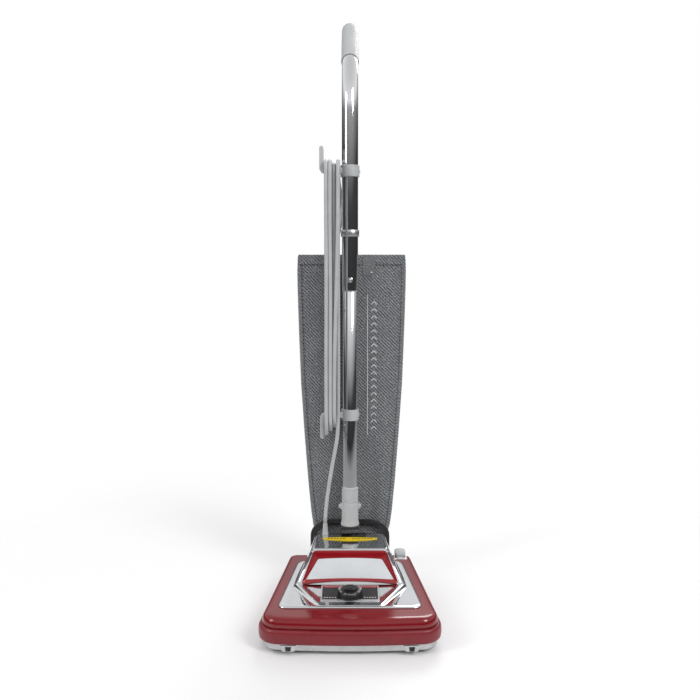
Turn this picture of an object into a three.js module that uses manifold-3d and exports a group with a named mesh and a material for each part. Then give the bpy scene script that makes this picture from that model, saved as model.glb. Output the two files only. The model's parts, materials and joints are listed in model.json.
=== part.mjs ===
// Upright vacuum cleaner: a low floor base with a domed motor hood, and a tilting handle
// that carries a cloth dust bag and a wound mains lead. Millimetres, +Z up, front towards -Y.
import * as THREE from "three";
import { ConvexGeometry } from "three/addons/geometries/ConvexGeometry.js";
import { mergeVertices } from "three/addons/utils/BufferGeometryUtils.js";
import Module from "manifold-3d";

const wasm = await Module();
wasm.setup();

// ---- Driving dimensions. In the base, y counts back from the front edge. ----
const gap = 0.3; // between pieces that touch
const runningGap = 0.5; // beside pieces that turn or slide

const baseWidth = 353;
const baseLength = 348;
const noseRadius = 42;
const tailRadius = 26;
const noseBow = 6;
const deckTop = 70;
const deckWall = 3;
const guardBottom = 22;
const guardTop = 50;
const guardThickness = 8;
const deckInset = 7; // deck edge drawn in from the guard
const trayBottom = 8;
const traySheet = 2;
const trayLength = 118;
const floorBottom = 14;
const floorSheet = 3;

const hoodSheet = 2.5;
const flangeFront = 57;
const flangeRear = 287;
const flangeFrontWidth = 285;
const flangeRearWidth = 230;
const flangeSheet = 4;
const apron = { front: 61, frontHalf: 64, rise: 5, spread: 6 }; // low slope that carries the height setting
const domeFoot = { front: 137, frontHalf: 116, midY: 193, midHalf: 113, rear: 284, rearHalf: 100 };
const domeBrow = { y: 141, half: 110, rise: 11.7 }; // where the apron meets the lens slope
const domeTop = { front: 176, rear: 262, frontHalf: 80, rearHalf: 74, rise: 76, radius: 6 };

const lensLength = 66;
const lensBottomWidth = 199;
const lensTopWidth = 150;
const lensRim = 8;
const plateWidth = 115;
const plateHeight = 61;
const plateLift = 5; // plate up the apron from its middle
const knobRadius = 25;
const knobLift = -4; // knob down the apron from its middle
const knobThickness = 15;
const knobShoulder = 10;
const knobShaftRadius = 5;

const shaftRadius = 4;
const fanRadius = 36;
const fanHousing = { front: 160, rear: 188, radius: 41, sheet: 2.5, eye: 22 };
const motorCan = { front: 194, rear: 268, radius: 41, sheet: 3, cap: 8 };
const motorClear = 1.5; // above the floor sheet
const motorHeight = floorBottom + floorSheet + motorClear + Math.max(motorCan.radius, fanHousing.radius);
const bearingRadius = 9;
const armatureRadius = 24;
const stator = { front: 203, rear: 251, bore: 25.5 };
const pulley = { front: 80, rear: 92, radius: 6.5, groove: 5.5 };

const rollY = 44.5;
const rollHeight = 31;
const rollRadius = 19;
const rollGroove = 13;
const bristleRadius = 24.5;
const rollHalf = 148;
const beltRadius = 2.5;

const frontWheel = { radius: 15, width: 16, x: 50, y: 92 };
const carriagePivot = { y: 128, z: 24 };
const axleRadius = 4;

const pivotY = 300; // handle pivots
const pivotHeight = 62;
const pinRadius = 5;
const bailOuter = 88;
const bailStrap = 12;
const bailSheet = 5;
const bossWidth = 11; // walls that hold the pivot pins
const bossClear = 9; // from the outer walls to the rear wheels
const crownTop = 100;
const handleLean = 3; // degrees the upright handle leans back
const rearWheel = { radius: 30, width: 20, x: bailOuter + runningGap + bossWidth + bossClear + 10, y: 290 };
const wheelClear = 17; // from the rear wheels to the tail's sides
const tailWidth = 2 * (rearWheel.x + rearWheel.width / 2 + wheelClear);
const pedalNear = bailOuter + runningGap + 13;
const pedalWidth = 25;

const tubeAhead = 40.7; // tube axis in front of the pivots
const lowerTubeRadius = 15.875;
const lowerTubeWall = 1.6;
const upperTubeWall = 0.825;
const upperTubeRadius = lowerTubeRadius + gap + upperTubeWall;
const socketRadius = lowerTubeRadius + gap + 1.825;
const collarRadius = lowerTubeRadius + gap + 1.525;
const socketTop = 152;
const collarTop = 185.5;
const upperTubeFoot = 606;
const snapHeight = 631;
const lowerTubeTop = 676;
const bendStart = 985;
const bendRadius = 139;
const bendAngle = 53;
const gripLength = 185;
const gripRadius = upperTubeRadius + gap + 1.35;

const upperArm = 858;
const lowerArm = 343;
const armDepth = 16;
const armHeight = 12;
const hookReach = 38; // free width between tube and prong
const prong = 9;
const prongLength = 45;
const cordDiameter = 8;
const hankInner = 20;
const hankOuter = 36;
const hankAhead = 8; // hank centre in front of the tube axis

const bagTop = 686;
const bagShift = 3.5;
const portX = -45;
const portY = 322;
const portTop = 84;
const portRadius = 22;
const bagFloor = 54; // lowest level of the bag above the pivots

const degrees = Math.PI / 180;

// ---- Solids: manifold-3d joins and cuts closed three.js geometries. ----
function solidOf(geometry) {
  const bare = new THREE.BufferGeometry();
  const open = geometry.index ? geometry.toNonIndexed() : geometry;
  bare.setAttribute("position", open.getAttribute("position"));
  const merged = mergeVertices(bare, 1e-3);
  const vertProperties = new Float32Array(merged.attributes.position.array);
  const triVerts = new Uint32Array(merged.index.array);
  return new wasm.Manifold(new wasm.Mesh({ numProp: 3, vertProperties, triVerts }));
}

function geometryOf(solid) {
  const mesh = solid.getMesh();
  const geometry = new THREE.BufferGeometry();
  const positions = new Float32Array(mesh.vertProperties);
  geometry.setAttribute("position", new THREE.BufferAttribute(positions, mesh.numProp));
  geometry.setIndex(new THREE.BufferAttribute(new Uint32Array(mesh.triVerts), 1));
  geometry.computeVertexNormals();
  return geometry;
}

function join(...pieces) {
  return geometryOf(pieces.map(solidOf).reduce((whole, piece) => whole.add(piece)));
}

function cut(body, ...tools) {
  return geometryOf(tools.map(solidOf).reduce((rest, tool) => rest.subtract(tool), solidOf(body)));
}

function block([x0, x1], [y0, y1], [z0, z1]) {
  const geometry = new THREE.BoxGeometry(x1 - x0, y1 - y0, z1 - z0);
  return geometry.translate((x0 + x1) / 2, (y0 + y1) / 2, (z0 + z1) / 2);
}

// A turned piece from a closed [radius, height] profile, with its axis along Y.
function turned(profile, sides) {
  const area = profile.reduce((sum, [r, h], i) => {
    const [nextR, nextH] = profile[(i + 1) % profile.length];
    return sum + r * nextH - nextR * h;
  }, 0);
  const ordered = area < 0 ? [...profile].reverse() : [...profile];
  ordered.push(ordered[0]);
  return new THREE.LatheGeometry(ordered.map(([r, h]) => new THREE.Vector2(r, h)), sides);
}

function rodY(radius, y0, y1, x, z, sides = 16) {
  return new THREE.CylinderGeometry(radius, radius, y1 - y0, sides).translate(x, (y0 + y1) / 2, z);
}

// A wheel or rod across the base; a flat facet faces down, so the radius is to the facets.
function rodX(radius, x0, x1, y, z, sides = 16) {
  const corner = radius / Math.cos(Math.PI / sides);
  const geometry = new THREE.CylinderGeometry(corner, corner, x1 - x0, sides, 1, false, Math.PI / sides);
  return geometry.rotateZ(Math.PI / 2).translate((x0 + x1) / 2, y, z);
}

function rodZ(radius, z0, z1, x, y, sides = 24, topRadius = radius) {
  const geometry = new THREE.CylinderGeometry(topRadius, radius, z1 - z0, sides);
  return geometry.rotateX(Math.PI / 2).translate(x, y, (z0 + z1) / 2);
}

function pipeZ(outer, inner, z0, z1, x, y, sides = 24) {
  return cut(rodZ(outer, z0, z1, x, y, sides), rodZ(inner, z0 - 1, z1 + 1, x, y, sides));
}

class Stretch extends THREE.Curve {
  // A part of a closed curve.
  constructor(loop, from, to) {
    super();
    Object.assign(this, { loop, from, to });
  }
  getPoint(t, target = new THREE.Vector3()) {
    const place = this.from + (this.to - this.from) * t;
    return this.loop.getPoint(place - Math.floor(place), target);
  }
}

function disc(radius, sides) {
  const points = [];
  for (let i = 0; i < sides; i += 1) {
    const angle = (i / sides) * 2 * Math.PI;
    points.push(new THREE.Vector2(radius * Math.cos(angle), radius * Math.sin(angle)));
  }
  return new THREE.Shape(points);
}

function alongCurve(curve, radius, sides, steps) {
  return new THREE.ExtrudeGeometry(disc(radius, sides), { steps, extrudePath: curve });
}

const machine = new THREE.Group(); // the base's own frame: y from the front edge
const handle = new THREE.Group(); // the handle's own frame: origin midway between its pivots
handle.position.set(0, pivotY, pivotHeight);
handle.rotation.x = -handleLean * degrees;
machine.add(handle);

const finishes = {
  red: { color: 0x9e0d16, roughness: 0.25, metalness: 0 },
  softRed: { color: 0xb03038, roughness: 0.5, metalness: 0 },
  steel: { color: 0x9a9da0, roughness: 0.4, metalness: 1 },
  castMetal: { color: 0xb4b6b8, roughness: 0.5, metalness: 1 },
  chrome: { color: 0xdfe3e6, roughness: 0.06, metalness: 1 },
  greyPlastic: { color: 0xbfc3c4, roughness: 0.45, metalness: 0 },
  blackPlastic: { color: 0x161719, roughness: 0.4, metalness: 0 },
  frosted: { color: 0xd6dde0, roughness: 0.35, metalness: 0 },
  yellow: { color: 0xf0cf1c, roughness: 0.5, metalness: 0 },
  cloth: { color: 0x5c6064, roughness: 0.95, metalness: 0 },
  rubber: { color: 0x1b1b1c, roughness: 0.85, metalness: 0 },
  copper: { color: 0x9c5a2c, roughness: 0.4, metalness: 1 },
  wood: { color: 0xb88a55, roughness: 0.6, metalness: 0 },
  cordGrey: { color: 0xc3c6c7, roughness: 0.5, metalness: 0 },
};

function place(name, geometry, finish, group = machine) {
  const mesh = new THREE.Mesh(geometry, new THREE.MeshStandardMaterial(finishes[finish]));
  mesh.name = name;
  group.add(mesh);
  return mesh;
}

// ---- Floor base ----
// One level of the base's outline, drawn in by inset from the widest line.
function baseOutline(inset, z, front = 0, rear = baseLength) {
  const noseHalf = baseWidth / 2 - noseRadius;
  const tailHalf = tailWidth / 2 - tailRadius;
  const points = [];
  const corner = (x, y, radius, start) => {
    for (let i = 0; i <= 5; i += 1) {
      const angle = start + (i / 5) * (Math.PI / 2);
      const reach = Math.max(radius - inset, 1);
      points.push([x + reach * Math.cos(angle), y + reach * Math.sin(angle)]);
    }
  };
  corner(noseHalf, noseRadius + noseBow, noseRadius, -Math.PI / 2);
  corner(-noseHalf, noseRadius + noseBow, noseRadius, Math.PI);
  corner(tailHalf, baseLength - tailRadius, tailRadius, 0);
  corner(-tailHalf, baseLength - tailRadius, tailRadius, Math.PI / 2);
  for (let i = -4; i <= 4; i += 1) {
    const x = (i / 5) * noseHalf;
    points.push([x, inset + noseBow * (x / noseHalf) ** 2]);
  }
  const half = (y) => baseWidth / 2 - inset - ((baseWidth - tailWidth) / 2) * (y / baseLength);
  if (front > 0 || rear < baseLength) {
    const kept = points.filter(([, y]) => y >= front && y <= rear);
    if (front > 0) kept.push([half(front), front], [-half(front), front]);
    if (rear < baseLength) kept.push([half(rear), rear], [-half(rear), rear]);
    return kept.map(([x, y]) => new THREE.Vector3(x, y, z));
  }
  return points.map(([x, y]) => new THREE.Vector3(x, y, z));
}

function hull(...levels) {
  return new ConvexGeometry(levels.flat());
}

function both(make) {
  return [make(1), make(-1)];
}

function spanX(side, near, far) {
  return side > 0 ? [near, far] : [-far, -near];
}

const skirtInset = guardThickness + gap;
const cavityInset = skirtInset + deckWall;
const bossNear = bailOuter - bailStrap - runningGap;
const bossFar = bailOuter + runningGap;
const pedalX = [pedalNear, pedalNear + pedalWidth];
const pedalPivotY = 308;
const wheelWell = rearWheel.width / 2 + 1;

const deckShell = hull(
  baseOutline(deckInset + 2, guardTop + gap),
  baseOutline(deckInset, guardTop + 4),
  baseOutline(deckInset + 3, deckTop - 8),
  baseOutline(deckInset + 9, deckTop - 2.5),
  baseOutline(deckInset + 19, deckTop),
);
const skirt = hull(baseOutline(skirtInset, guardBottom), baseOutline(skirtInset, guardTop + 1));
const rearTub = hull(
  baseOutline(skirtInset + 3, floorBottom, trayLength + 3),
  baseOutline(skirtInset, guardBottom + 1, trayLength + 3),
);
const cavity = hull(
  baseOutline(cavityInset, floorBottom + floorSheet),
  baseOutline(cavityInset, deckTop - 12),
  baseOutline(cavityInset + 16, deckTop - deckWall),
);
const hoodOpening = hull(
  ...[deckTop - 10, deckTop + 5].map((z) => [
    new THREE.Vector3(apron.frontHalf - 9, apron.front + 8, z),
    new THREE.Vector3(9 - apron.frontHalf, apron.front + 8, z),
    new THREE.Vector3(domeFoot.frontHalf - 9, domeFoot.front + 6, z),
    new THREE.Vector3(9 - domeFoot.frontHalf, domeFoot.front + 6, z),
    new THREE.Vector3(domeFoot.rearHalf - 6, domeFoot.rear - 6, z),
    new THREE.Vector3(6 - domeFoot.rearHalf, domeFoot.rear - 6, z),
  ]),
);
const bosses = both((side) =>
  join(
    block(spanX(side, bossNear - bossWidth, bossNear), [291, 309], [floorBottom + 1, deckTop - 1]),
    block(spanX(side, bossFar, bossFar + bossWidth), [291, 309], [floorBottom + 1, deckTop - 1]),
    block(spanX(side, bossNear - bossWidth, bossFar + bossWidth), [291, 309], [floorBottom + 1, 30]),
  ),
);
const bailSlots = both((side) =>
  block(spanX(side, bossNear, bossFar), [289, baseLength + 5], [pivotHeight - 16, deckTop + 5]),
);
const pinHoles = both((side) => {
  const [x0, x1] = spanX(side, bossNear - bossWidth - 1, bossFar + bossWidth + 1);
  return rodX(pinRadius + gap, x0, x1, pivotY, pivotHeight);
});
const rearWells = both((side) =>
  block(
    spanX(side, rearWheel.x - wheelWell, rearWheel.x + wheelWell),
    [rearWheel.y - rearWheel.radius - 2, rearWheel.y + rearWheel.radius + 2],
    [0, 2 * rearWheel.radius + 1.5],
  ),
);
const axleWalls = both((side) =>
  block(
    spanX(side, rearWheel.x - wheelWell - 5, rearWheel.x - wheelWell),
    [rearWheel.y - 10, rearWheel.y + 10],
    [floorBottom + 1, rearWheel.radius + 10],
  ),
);
const springY = 329;
const springX = pedalNear + pedalWidth / 2;
const springSeat = rodZ(8, floorBottom + 1, 44, springX, springY, 12);
const brushMouth = block([-rollHalf - 12, rollHalf + 12], [rollY - 27, rollY + 29], [0, rollHeight]);
place(
  "base_housing",
  cut(
    join(cut(join(deckShell, skirt, rearTub), cavity, brushMouth), ...bosses, ...axleWalls, springSeat),
    block([-baseWidth, baseWidth], [-5, trayLength + 2], [0, guardBottom]),
    hull(
      baseOutline(cavityInset, floorBottom + 4, 0, trayLength),
      baseOutline(cavityInset, 40, 0, trayLength),
    ),
    hoodOpening,
    ...bailSlots,
    ...pinHoles,
    ...rearWells,
    rodX(axleRadius + gap, 3.5 - rearWheel.x, rearWheel.x - 3.5, rearWheel.y, rearWheel.radius, 12),
    block([pedalX[0] - 1, pedalX[1] + 1], [pedalPivotY - 8, baseLength + 5], [48, deckTop + 5]),
    rodZ(portRadius + gap, 20, deckTop + 5, portX, portY),
  ),
  "red",
);

place(
  "furniture_guard",
  cut(
    hull(
      baseOutline(1.5, guardBottom),
      baseOutline(0, guardBottom + 6),
      baseOutline(0, guardTop - 6),
      baseOutline(1.5, guardTop),
    ),
    hull(baseOutline(guardThickness, guardBottom - 1), baseOutline(guardThickness, guardTop + 1)),
    block([-baseWidth, baseWidth], [262, baseLength + 5], [0, deckTop]),
  ),
  "softRed",
);

const trayTop = guardBottom - gap;
const mouthHalf = rollHalf - 1;
place(
  "bottom_plate",
  cut(
    hull(
      baseOutline(skirtInset + 2, trayBottom, 0, trayLength),
      baseOutline(skirtInset, trayBottom + 4, 0, trayLength),
      baseOutline(skirtInset, trayTop, 0, trayLength),
    ),
    hull(
      baseOutline(skirtInset + traySheet, trayBottom + traySheet, 0, trayLength - traySheet),
      baseOutline(skirtInset + traySheet, trayTop + 1, 0, trayLength - traySheet),
    ),
    block([-mouthHalf, mouthHalf], [rollY - 25, rollY + 25], [0, 20]),
    block([-74, 74], [frontWheel.y - 20, trayLength + 5], [0, 40]),
  ),
  "steel",
);

const latchX = baseWidth / 2 - 59.5;
const latchFaceY = noseBow * (latchX / (baseWidth / 2 - noseRadius)) ** 2;
for (const [side, name] of [[1, "plate_latch_right"], [-1, "plate_latch_left"]]) {
  const tab = hull(
    ...[0, 2.6].map((deep) => [
      new THREE.Vector3(side * (latchX - 16), latchFaceY + deep, 21.4),
      new THREE.Vector3(side * (latchX + 16), latchFaceY + deep, 21.4),
      new THREE.Vector3(side * (latchX - 12), latchFaceY + deep, 9.6),
      new THREE.Vector3(side * (latchX + 12), latchFaceY + deep, 9.6),
    ]),
  );
  const notch = block(spanX(side, latchX - 4, latchX + 4), [latchFaceY - 1, latchFaceY + 1.2], [11, 20]);
  place(name, cut(tab, notch), "steel");
}

// ---- Motor hood, lens and height setting ----
const hoodFoot = deckTop + gap;

// The apron's corner points, drawn in by inset: a low wedge from the flange up to the brow.
function apronPoints(inset, foot) {
  const points = [];
  const pair = (half, y, z) => {
    points.push(new THREE.Vector3(half - inset, y, z), new THREE.Vector3(inset - half, y, z));
  };
  pair(apron.frontHalf, apron.front + inset, foot);
  pair(domeFoot.frontHalf, domeFoot.front + inset, foot);
  pair(apron.frontHalf - apron.spread, apron.front + inset, hoodFoot + apron.rise - inset);
  pair(domeBrow.half, domeBrow.y + inset, hoodFoot + domeBrow.rise - inset);
  return points;
}

// The dome's corner points, drawn in by inset on every side.
function domePoints(inset, foot) {
  const points = [];
  const pair = (half, y, z) => {
    points.push(new THREE.Vector3(half - inset, y, z), new THREE.Vector3(inset - half, y, z));
  };
  for (const z of [foot, hoodFoot + flangeSheet]) {
    pair(domeFoot.frontHalf - 10, domeFoot.front + inset, z);
    pair(domeFoot.frontHalf, domeFoot.front + 12, z);
    pair(domeFoot.midHalf, domeFoot.midY, z);
    pair(domeFoot.rearHalf, domeFoot.rear - 14, z);
    pair(domeFoot.rearHalf - 12, domeFoot.rear - inset, z);
  }
  pair(domeBrow.half, domeBrow.y + inset * 1.1, hoodFoot + domeBrow.rise);
  pair(domeBrow.half, domeBrow.y + 8 + inset, hoodFoot + domeBrow.rise);
  const round = domeTop.radius;
  const { front: topFront, rear: topRear, frontHalf, rearHalf } = domeTop;
  for (const [y, half, along] of [[topFront, frontHalf, -1], [topRear, rearHalf, 1]]) {
    for (let i = 0; i <= 3; i += 1) {
      const lift = (i / 3) * (Math.PI / 2);
      for (let k = 0; k <= 3; k += 1) {
        const turn = (k / 3) * (Math.PI / 2);
        const reach = (round - inset) * Math.cos(lift);
        const x = half - round + reach * Math.sin(turn) + inset;
        const back = along * (reach * Math.cos(turn) - round * (along > 0 ? 1 : 0.2));
        pair(x, y + back, hoodFoot + domeTop.rise - round + (round - inset) * Math.sin(lift));
      }
    }
  }
  return points;
}

// Frames on the two front slopes: origin on the surface, local z outwards.
function slopeFrame(y0, z0, y1, z1) {
  const frame = new THREE.Group();
  frame.position.set(0, (y0 + y1) / 2, (z0 + z1) / 2);
  frame.rotation.x = Math.atan2(z1 - z0, y1 - y0);
  frame.updateMatrix();
  machine.add(frame);
  return frame;
}

const browZ = hoodFoot + domeBrow.rise;
const roofZ = hoodFoot + domeTop.rise;
const plateFrame = slopeFrame(apron.front, hoodFoot + apron.rise, domeBrow.y, browZ);
const crest = domeTop.radius * (0.2 - Math.cos(Math.PI / 6)); // where the lens slope meets the roof's round
const lensFrame = slopeFrame(domeBrow.y, browZ, domeTop.front + crest, roofZ - domeTop.radius / 2);

function trapezoid(bottomWidth, topWidth, length, from, to) {
  const shape = new THREE.Shape();
  shape.moveTo(-bottomWidth / 2, -length / 2);
  shape.lineTo(bottomWidth / 2, -length / 2);
  shape.lineTo(topWidth / 2, length / 2);
  shape.lineTo(-topWidth / 2, length / 2);
  shape.closePath();
  const geometry = new THREE.ExtrudeGeometry(shape, { depth: to - from, bevelEnabled: false });
  return geometry.translate(0, 0, from);
}

function lensBlock(inset, from, to) {
  const narrow = 2 * inset;
  return trapezoid(lensBottomWidth - narrow, lensTopWidth - narrow, lensLength - narrow, from, to);
}

const rockerX = [1, 33];
const rockerY = [236, 257];
const rockerZ = [roofZ - 9, roofZ + 3.5];
const flange = hull(
  ...[hoodFoot, hoodFoot + flangeSheet].map((z) =>
    both((side) =>
      [0, 1, 2, 3].flatMap((i) => {
        const turn = (i / 3) * (Math.PI / 2);
        const round = 20;
        return [
          new THREE.Vector3(
            side * (flangeFrontWidth / 2 - round + round * Math.sin(turn)),
            flangeFront + round - round * Math.cos(turn),
            z,
          ),
          new THREE.Vector3(
            side * (flangeRearWidth / 2 - round + round * Math.sin(turn)),
            flangeRear - round + round * Math.cos(turn),
            z,
          ),
        ];
      }),
    ).flat(),
  ),
);
place(
  "motor_hood",
  cut(
    join(hull(domePoints(0, hoodFoot)), hull(apronPoints(0, hoodFoot)), flange),
    hull(domePoints(hoodSheet, hoodFoot - 2)),
    hull(apronPoints(hoodSheet, hoodFoot - 2)),
    lensBlock(1.2, -12, 12).applyMatrix4(lensFrame.matrix),
    rodZ(knobShaftRadius + runningGap, -14, 10, 0, knobLift, 16).applyMatrix4(plateFrame.matrix),
    block(
      [rockerX[0] - 1.2, rockerX[1] + 1.2],
      [rockerY[0] - 1.2, rockerY[1] + 1.2],
      [roofZ - 12, roofZ + 5],
    ),
  ),
  "chrome",
);
place(
  "lens_frame",
  cut(join(lensBlock(0, gap, 3), lensBlock(1.2 + gap, -5, 2)), lensBlock(lensRim, -8, 8)),
  "red",
  lensFrame,
);
place("headlight_lens", lensBlock(lensRim + gap, -4, 1.5), "frosted", lensFrame);

const plateHole = rodZ(knobShaftRadius + runningGap, -5, 8, 0, knobLift, 16);
place(
  "height_plate",
  cut(trapezoid(plateWidth + 3, plateWidth, plateHeight, gap, gap + 2).translate(0, plateLift, 0), plateHole),
  "blackPlastic",
  plateFrame,
);
const knobFoot = gap + 2 + runningGap;
place(
  "height_knob",
  join(
    rodZ(knobRadius, knobFoot, knobFoot + knobShoulder, 0, knobLift, 32),
    rodZ(
      knobRadius, knobFoot + knobShoulder - 0.01, knobFoot + knobThickness, 0, knobLift, 32, knobRadius - 4,
    ),
    rodZ(knobShaftRadius, -9, knobFoot + 1, 0, knobLift, 16),
  ),
  "blackPlastic",
  plateFrame,
);

const stripShape = new THREE.Shape();
stripShape.moveTo(-58, 234);
stripShape.lineTo(-58, 221);
stripShape.quadraticCurveTo(0, 207, 58, 221);
stripShape.lineTo(58, 234);
stripShape.closePath();
const strip = new THREE.ExtrudeGeometry(stripShape, { depth: 0.8, bevelEnabled: false, curveSegments: 8 });
place("hood_label_strip", strip.translate(0, 0, roofZ + gap), "yellow");

place("foot_switch", block(rockerX, rockerY, rockerZ), "blackPlastic");
const boxFoot = motorHeight + motorCan.radius + 10;
place(
  "switch_box",
  block([-1, 35], [rockerY[0] - 1, rockerY[1] + 1], [boxFoot, rockerZ[0] - 2]),
  "blackPlastic",
);
const bulbY = fanHousing.rear - 3;
const bulbFoot = motorHeight + fanHousing.radius + 4;
place(
  "headlight_bulb",
  turned([[0, 0], [7, 0], [7, 8], [5, 10], [8, 15], [9, 20], [6, 25], [0, 27]], 16)
    .rotateX(Math.PI / 2)
    .translate(0, bulbY, bulbFoot),
  "frosted",
);
place(
  "bulb_holder",
  block([-12, 12], [bulbY - 12, bulbY + 12], [bulbFoot - 3 - gap, bulbFoot - gap]),
  "castMetal",
);

// ---- Motor, fan and brush drive ----
const rotor = new THREE.Group();
rotor.position.z = motorHeight;
machine.add(rotor);
const bore = shaftRadius + gap;
place(
  "motor_shaft",
  turned(
    [
      [0, pulley.front], [pulley.radius, pulley.front], [pulley.groove, pulley.front + 4],
      [pulley.groove, pulley.rear - 4], [pulley.radius, pulley.rear], [shaftRadius, pulley.rear + 1],
      [shaftRadius, motorCan.rear + 6], [0, motorCan.rear + 6],
    ],
    16,
  ),
  "steel",
  rotor,
);
place(
  "armature",
  turned(
    [
      [bore, 205], [armatureRadius, 205], [armatureRadius, 240], [12, 243], [12, 256], [bore, 256],
    ],
    24,
  ),
  "copper",
  rotor,
);
const fanHub = turned(
  [[bore, 166], [10, 166], [12, 178], [fanRadius, 179], [fanRadius, 181], [bore, 181]],
  24,
);
const blades = Array.from({ length: 6 }, (_, i) =>
  block([9, fanRadius - 1], [168, 179.5], [-1, 1]).rotateY((i / 6) * 2 * Math.PI),
);
place("fan", join(fanHub, ...blades), "castMetal", rotor);

const { front: fanFront, rear: fanRear, radius: fanWall, sheet: fanSheet, eye } = fanHousing;
place(
  "fan_housing",
  turned(
    [
      [eye, fanFront], [fanWall, fanFront], [fanWall, fanRear], [10, fanRear], [10, fanRear - fanSheet],
      [fanWall - fanSheet, fanRear - fanSheet], [fanWall - fanSheet, fanFront + fanSheet],
      [eye, fanFront + fanSheet],
    ],
    32,
  ),
  "castMetal",
  rotor,
);
const { front: canFront, rear: canRear, radius: canRadius, sheet: canSheet, cap: canCap } = motorCan;
place(
  "motor_casing",
  turned(
    [
      [bearingRadius + gap, canFront], [canRadius - 6, canFront], [canRadius, canFront + 6],
      [canRadius, canRear - 6], [canRadius - 6, canRear], [bearingRadius + gap, canRear],
      [bearingRadius + gap, canRear - canCap], [canRadius - canSheet, canRear - canCap],
      [canRadius - canSheet, canFront + canCap], [bearingRadius + gap, canFront + canCap],
    ],
    32,
  ),
  "castMetal",
  rotor,
);
const canBore = canRadius - canSheet - gap;
place(
  "motor_stator",
  turned([
    [stator.bore, stator.front], [canBore, stator.front], [canBore, stator.rear], [stator.bore, stator.rear],
  ], 32),
  "copper",
  rotor,
);
for (const [name, start] of [["front_bearing", canFront + 0.5], ["rear_bearing", canRear - canCap + 0.5]]) {
  const width = canCap - 1;
  const ring = [[bore, start], [bearingRadius, start], [bearingRadius, start + width], [bore, start + width]];
  place(name, turned(ring, 20), "steel", rotor);
}

const roll = new THREE.Group();
roll.position.set(0, rollY, rollHeight);
roll.rotation.z = -Math.PI / 2;
machine.add(roll);
const rollProfile = [
  [0, -rollHalf], [rollRadius, -rollHalf], [rollRadius, -14], [rollGroove, -9], [rollGroove, 9],
  [rollRadius, 14], [rollRadius, rollHalf], [0, rollHalf],
];
place("brush_roll", turned(rollProfile, 20), "wood", roll);

class RollHelix extends THREE.Curve {
  constructor(from, to, start, radius) {
    super();
    Object.assign(this, { from, to, start, radius });
  }
  getPoint(t, target = new THREE.Vector3()) {
    const along = this.from + (this.to - this.from) * t;
    const angle = this.start + (along / rollHalf) * Math.PI * 0.75;
    return target.set(this.radius * Math.cos(angle), along, this.radius * Math.sin(angle));
  }
}

const bristleRows = [
  ["bristle_strip_right_a", 16, rollHalf - 4, 0],
  ["bristle_strip_right_b", 16, rollHalf - 4, Math.PI],
  ["bristle_strip_left_a", 4 - rollHalf, -16, 0],
  ["bristle_strip_left_b", 4 - rollHalf, -16, Math.PI],
];
for (const [name, from, to, start] of bristleRows) {
  const row = alongCurve(new RollHelix(from, to, start, (rollRadius + gap + bristleRadius) / 2), 3.2, 6, 12);
  const clear = rodY(rollRadius + gap, -rollHalf, rollHalf, 0, 0, 40);
  place(name, cut(row, clear), "blackPlastic", roll);
}
for (const [side, name] of [[1, "roll_bearing_right"], [-1, "roll_bearing_left"]]) {
  const [x0, x1] = spanX(side, rollHalf + runningGap, rollHalf + 9);
  place(name, rodX(13, x0, x1, rollY, rollHeight, 16), "blackPlastic");
}

const beltAround = rollGroove + beltRadius + 1.2;
const beltOver = pulley.radius + beltRadius + runningGap + gap;
const beltLoop = new THREE.CatmullRomCurve3(
  [
    [0, rollY - beltAround, rollHeight],
    [0, rollY - beltAround * 0.71, rollHeight + beltAround * 0.71],
    [1, rollY, rollHeight + beltAround],
    [6, rollY + 26, rollHeight + beltAround + 8],
    [beltOver, pulley.front + 5, motorHeight],
    [beltOver * 0.71, pulley.front + 6.5, motorHeight + beltOver * 0.71],
    [0, pulley.front + 6.5, motorHeight + beltOver],
    [-beltOver * 0.71, pulley.front + 6.5, motorHeight + beltOver * 0.71],
    [-beltOver, pulley.front + 5, motorHeight],
    [-6, rollY + 26, rollHeight + 2],
    [-1, rollY, rollHeight - beltAround],
    [0, rollY - beltAround * 0.71, rollHeight - beltAround * 0.71],
  ].map(([x, y, z]) => new THREE.Vector3(x, y, z)),
  true,
);
place(
  "drive_belt",
  join(
    alongCurve(new Stretch(beltLoop, -0.01, 0.51), beltRadius, 8, 22),
    alongCurve(new Stretch(beltLoop, 0.49, 1.01), beltRadius, 8, 22),
  ),
  "rubber",
);

// ---- Exhaust duct, port and bag neck ----
const ductSheet = 2.5;
// The duct runs beside the motor, over the rear axle and between the pivot bosses to the port.
const ductFloor = rearWheel.radius + axleRadius + 3;
const ductNear = motorCan.radius + 6;
function ductRun(sheet, beyond) {
  const beside = [sheet - ductNear - 42, -ductNear - sheet];
  return join(
    block(beside, [fanRear + 8.5 - beyond, 284 - sheet], [20 + sheet, 60 - sheet]),
    block([sheet - 63, -26 - sheet], [270 + sheet, portY], [ductFloor + sheet, 60 - sheet]),
    rodZ(portRadius - sheet, ductFloor + sheet, portTop + beyond, portX, portY),
  );
}
place("exhaust_duct", cut(ductRun(0, 0), ductRun(ductSheet, 2)), "castMetal");
place(
  "bag_clamp",
  pipeZ(portRadius + 3.5, portRadius + gap, deckTop + 2, portTop - 1, portX, portY),
  "steel",
);
const neckLevels = [
  [portTop + gap, portY, portRadius, portRadius],
  [96, portY + 3, 26, 20],
  [pivotHeight + bagFloor * 0.99 - 3.2, portY + 9, 38, 17],
];
place(
  "bag_neck",
  hull(
    ...neckLevels.map(([z, y, wide, deep]) =>
      disc(1, 16).getPoints().map((p) => new THREE.Vector3(portX + wide * p.x, y + deep * p.y, z)),
    ),
  ),
  "cloth",
);

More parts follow.
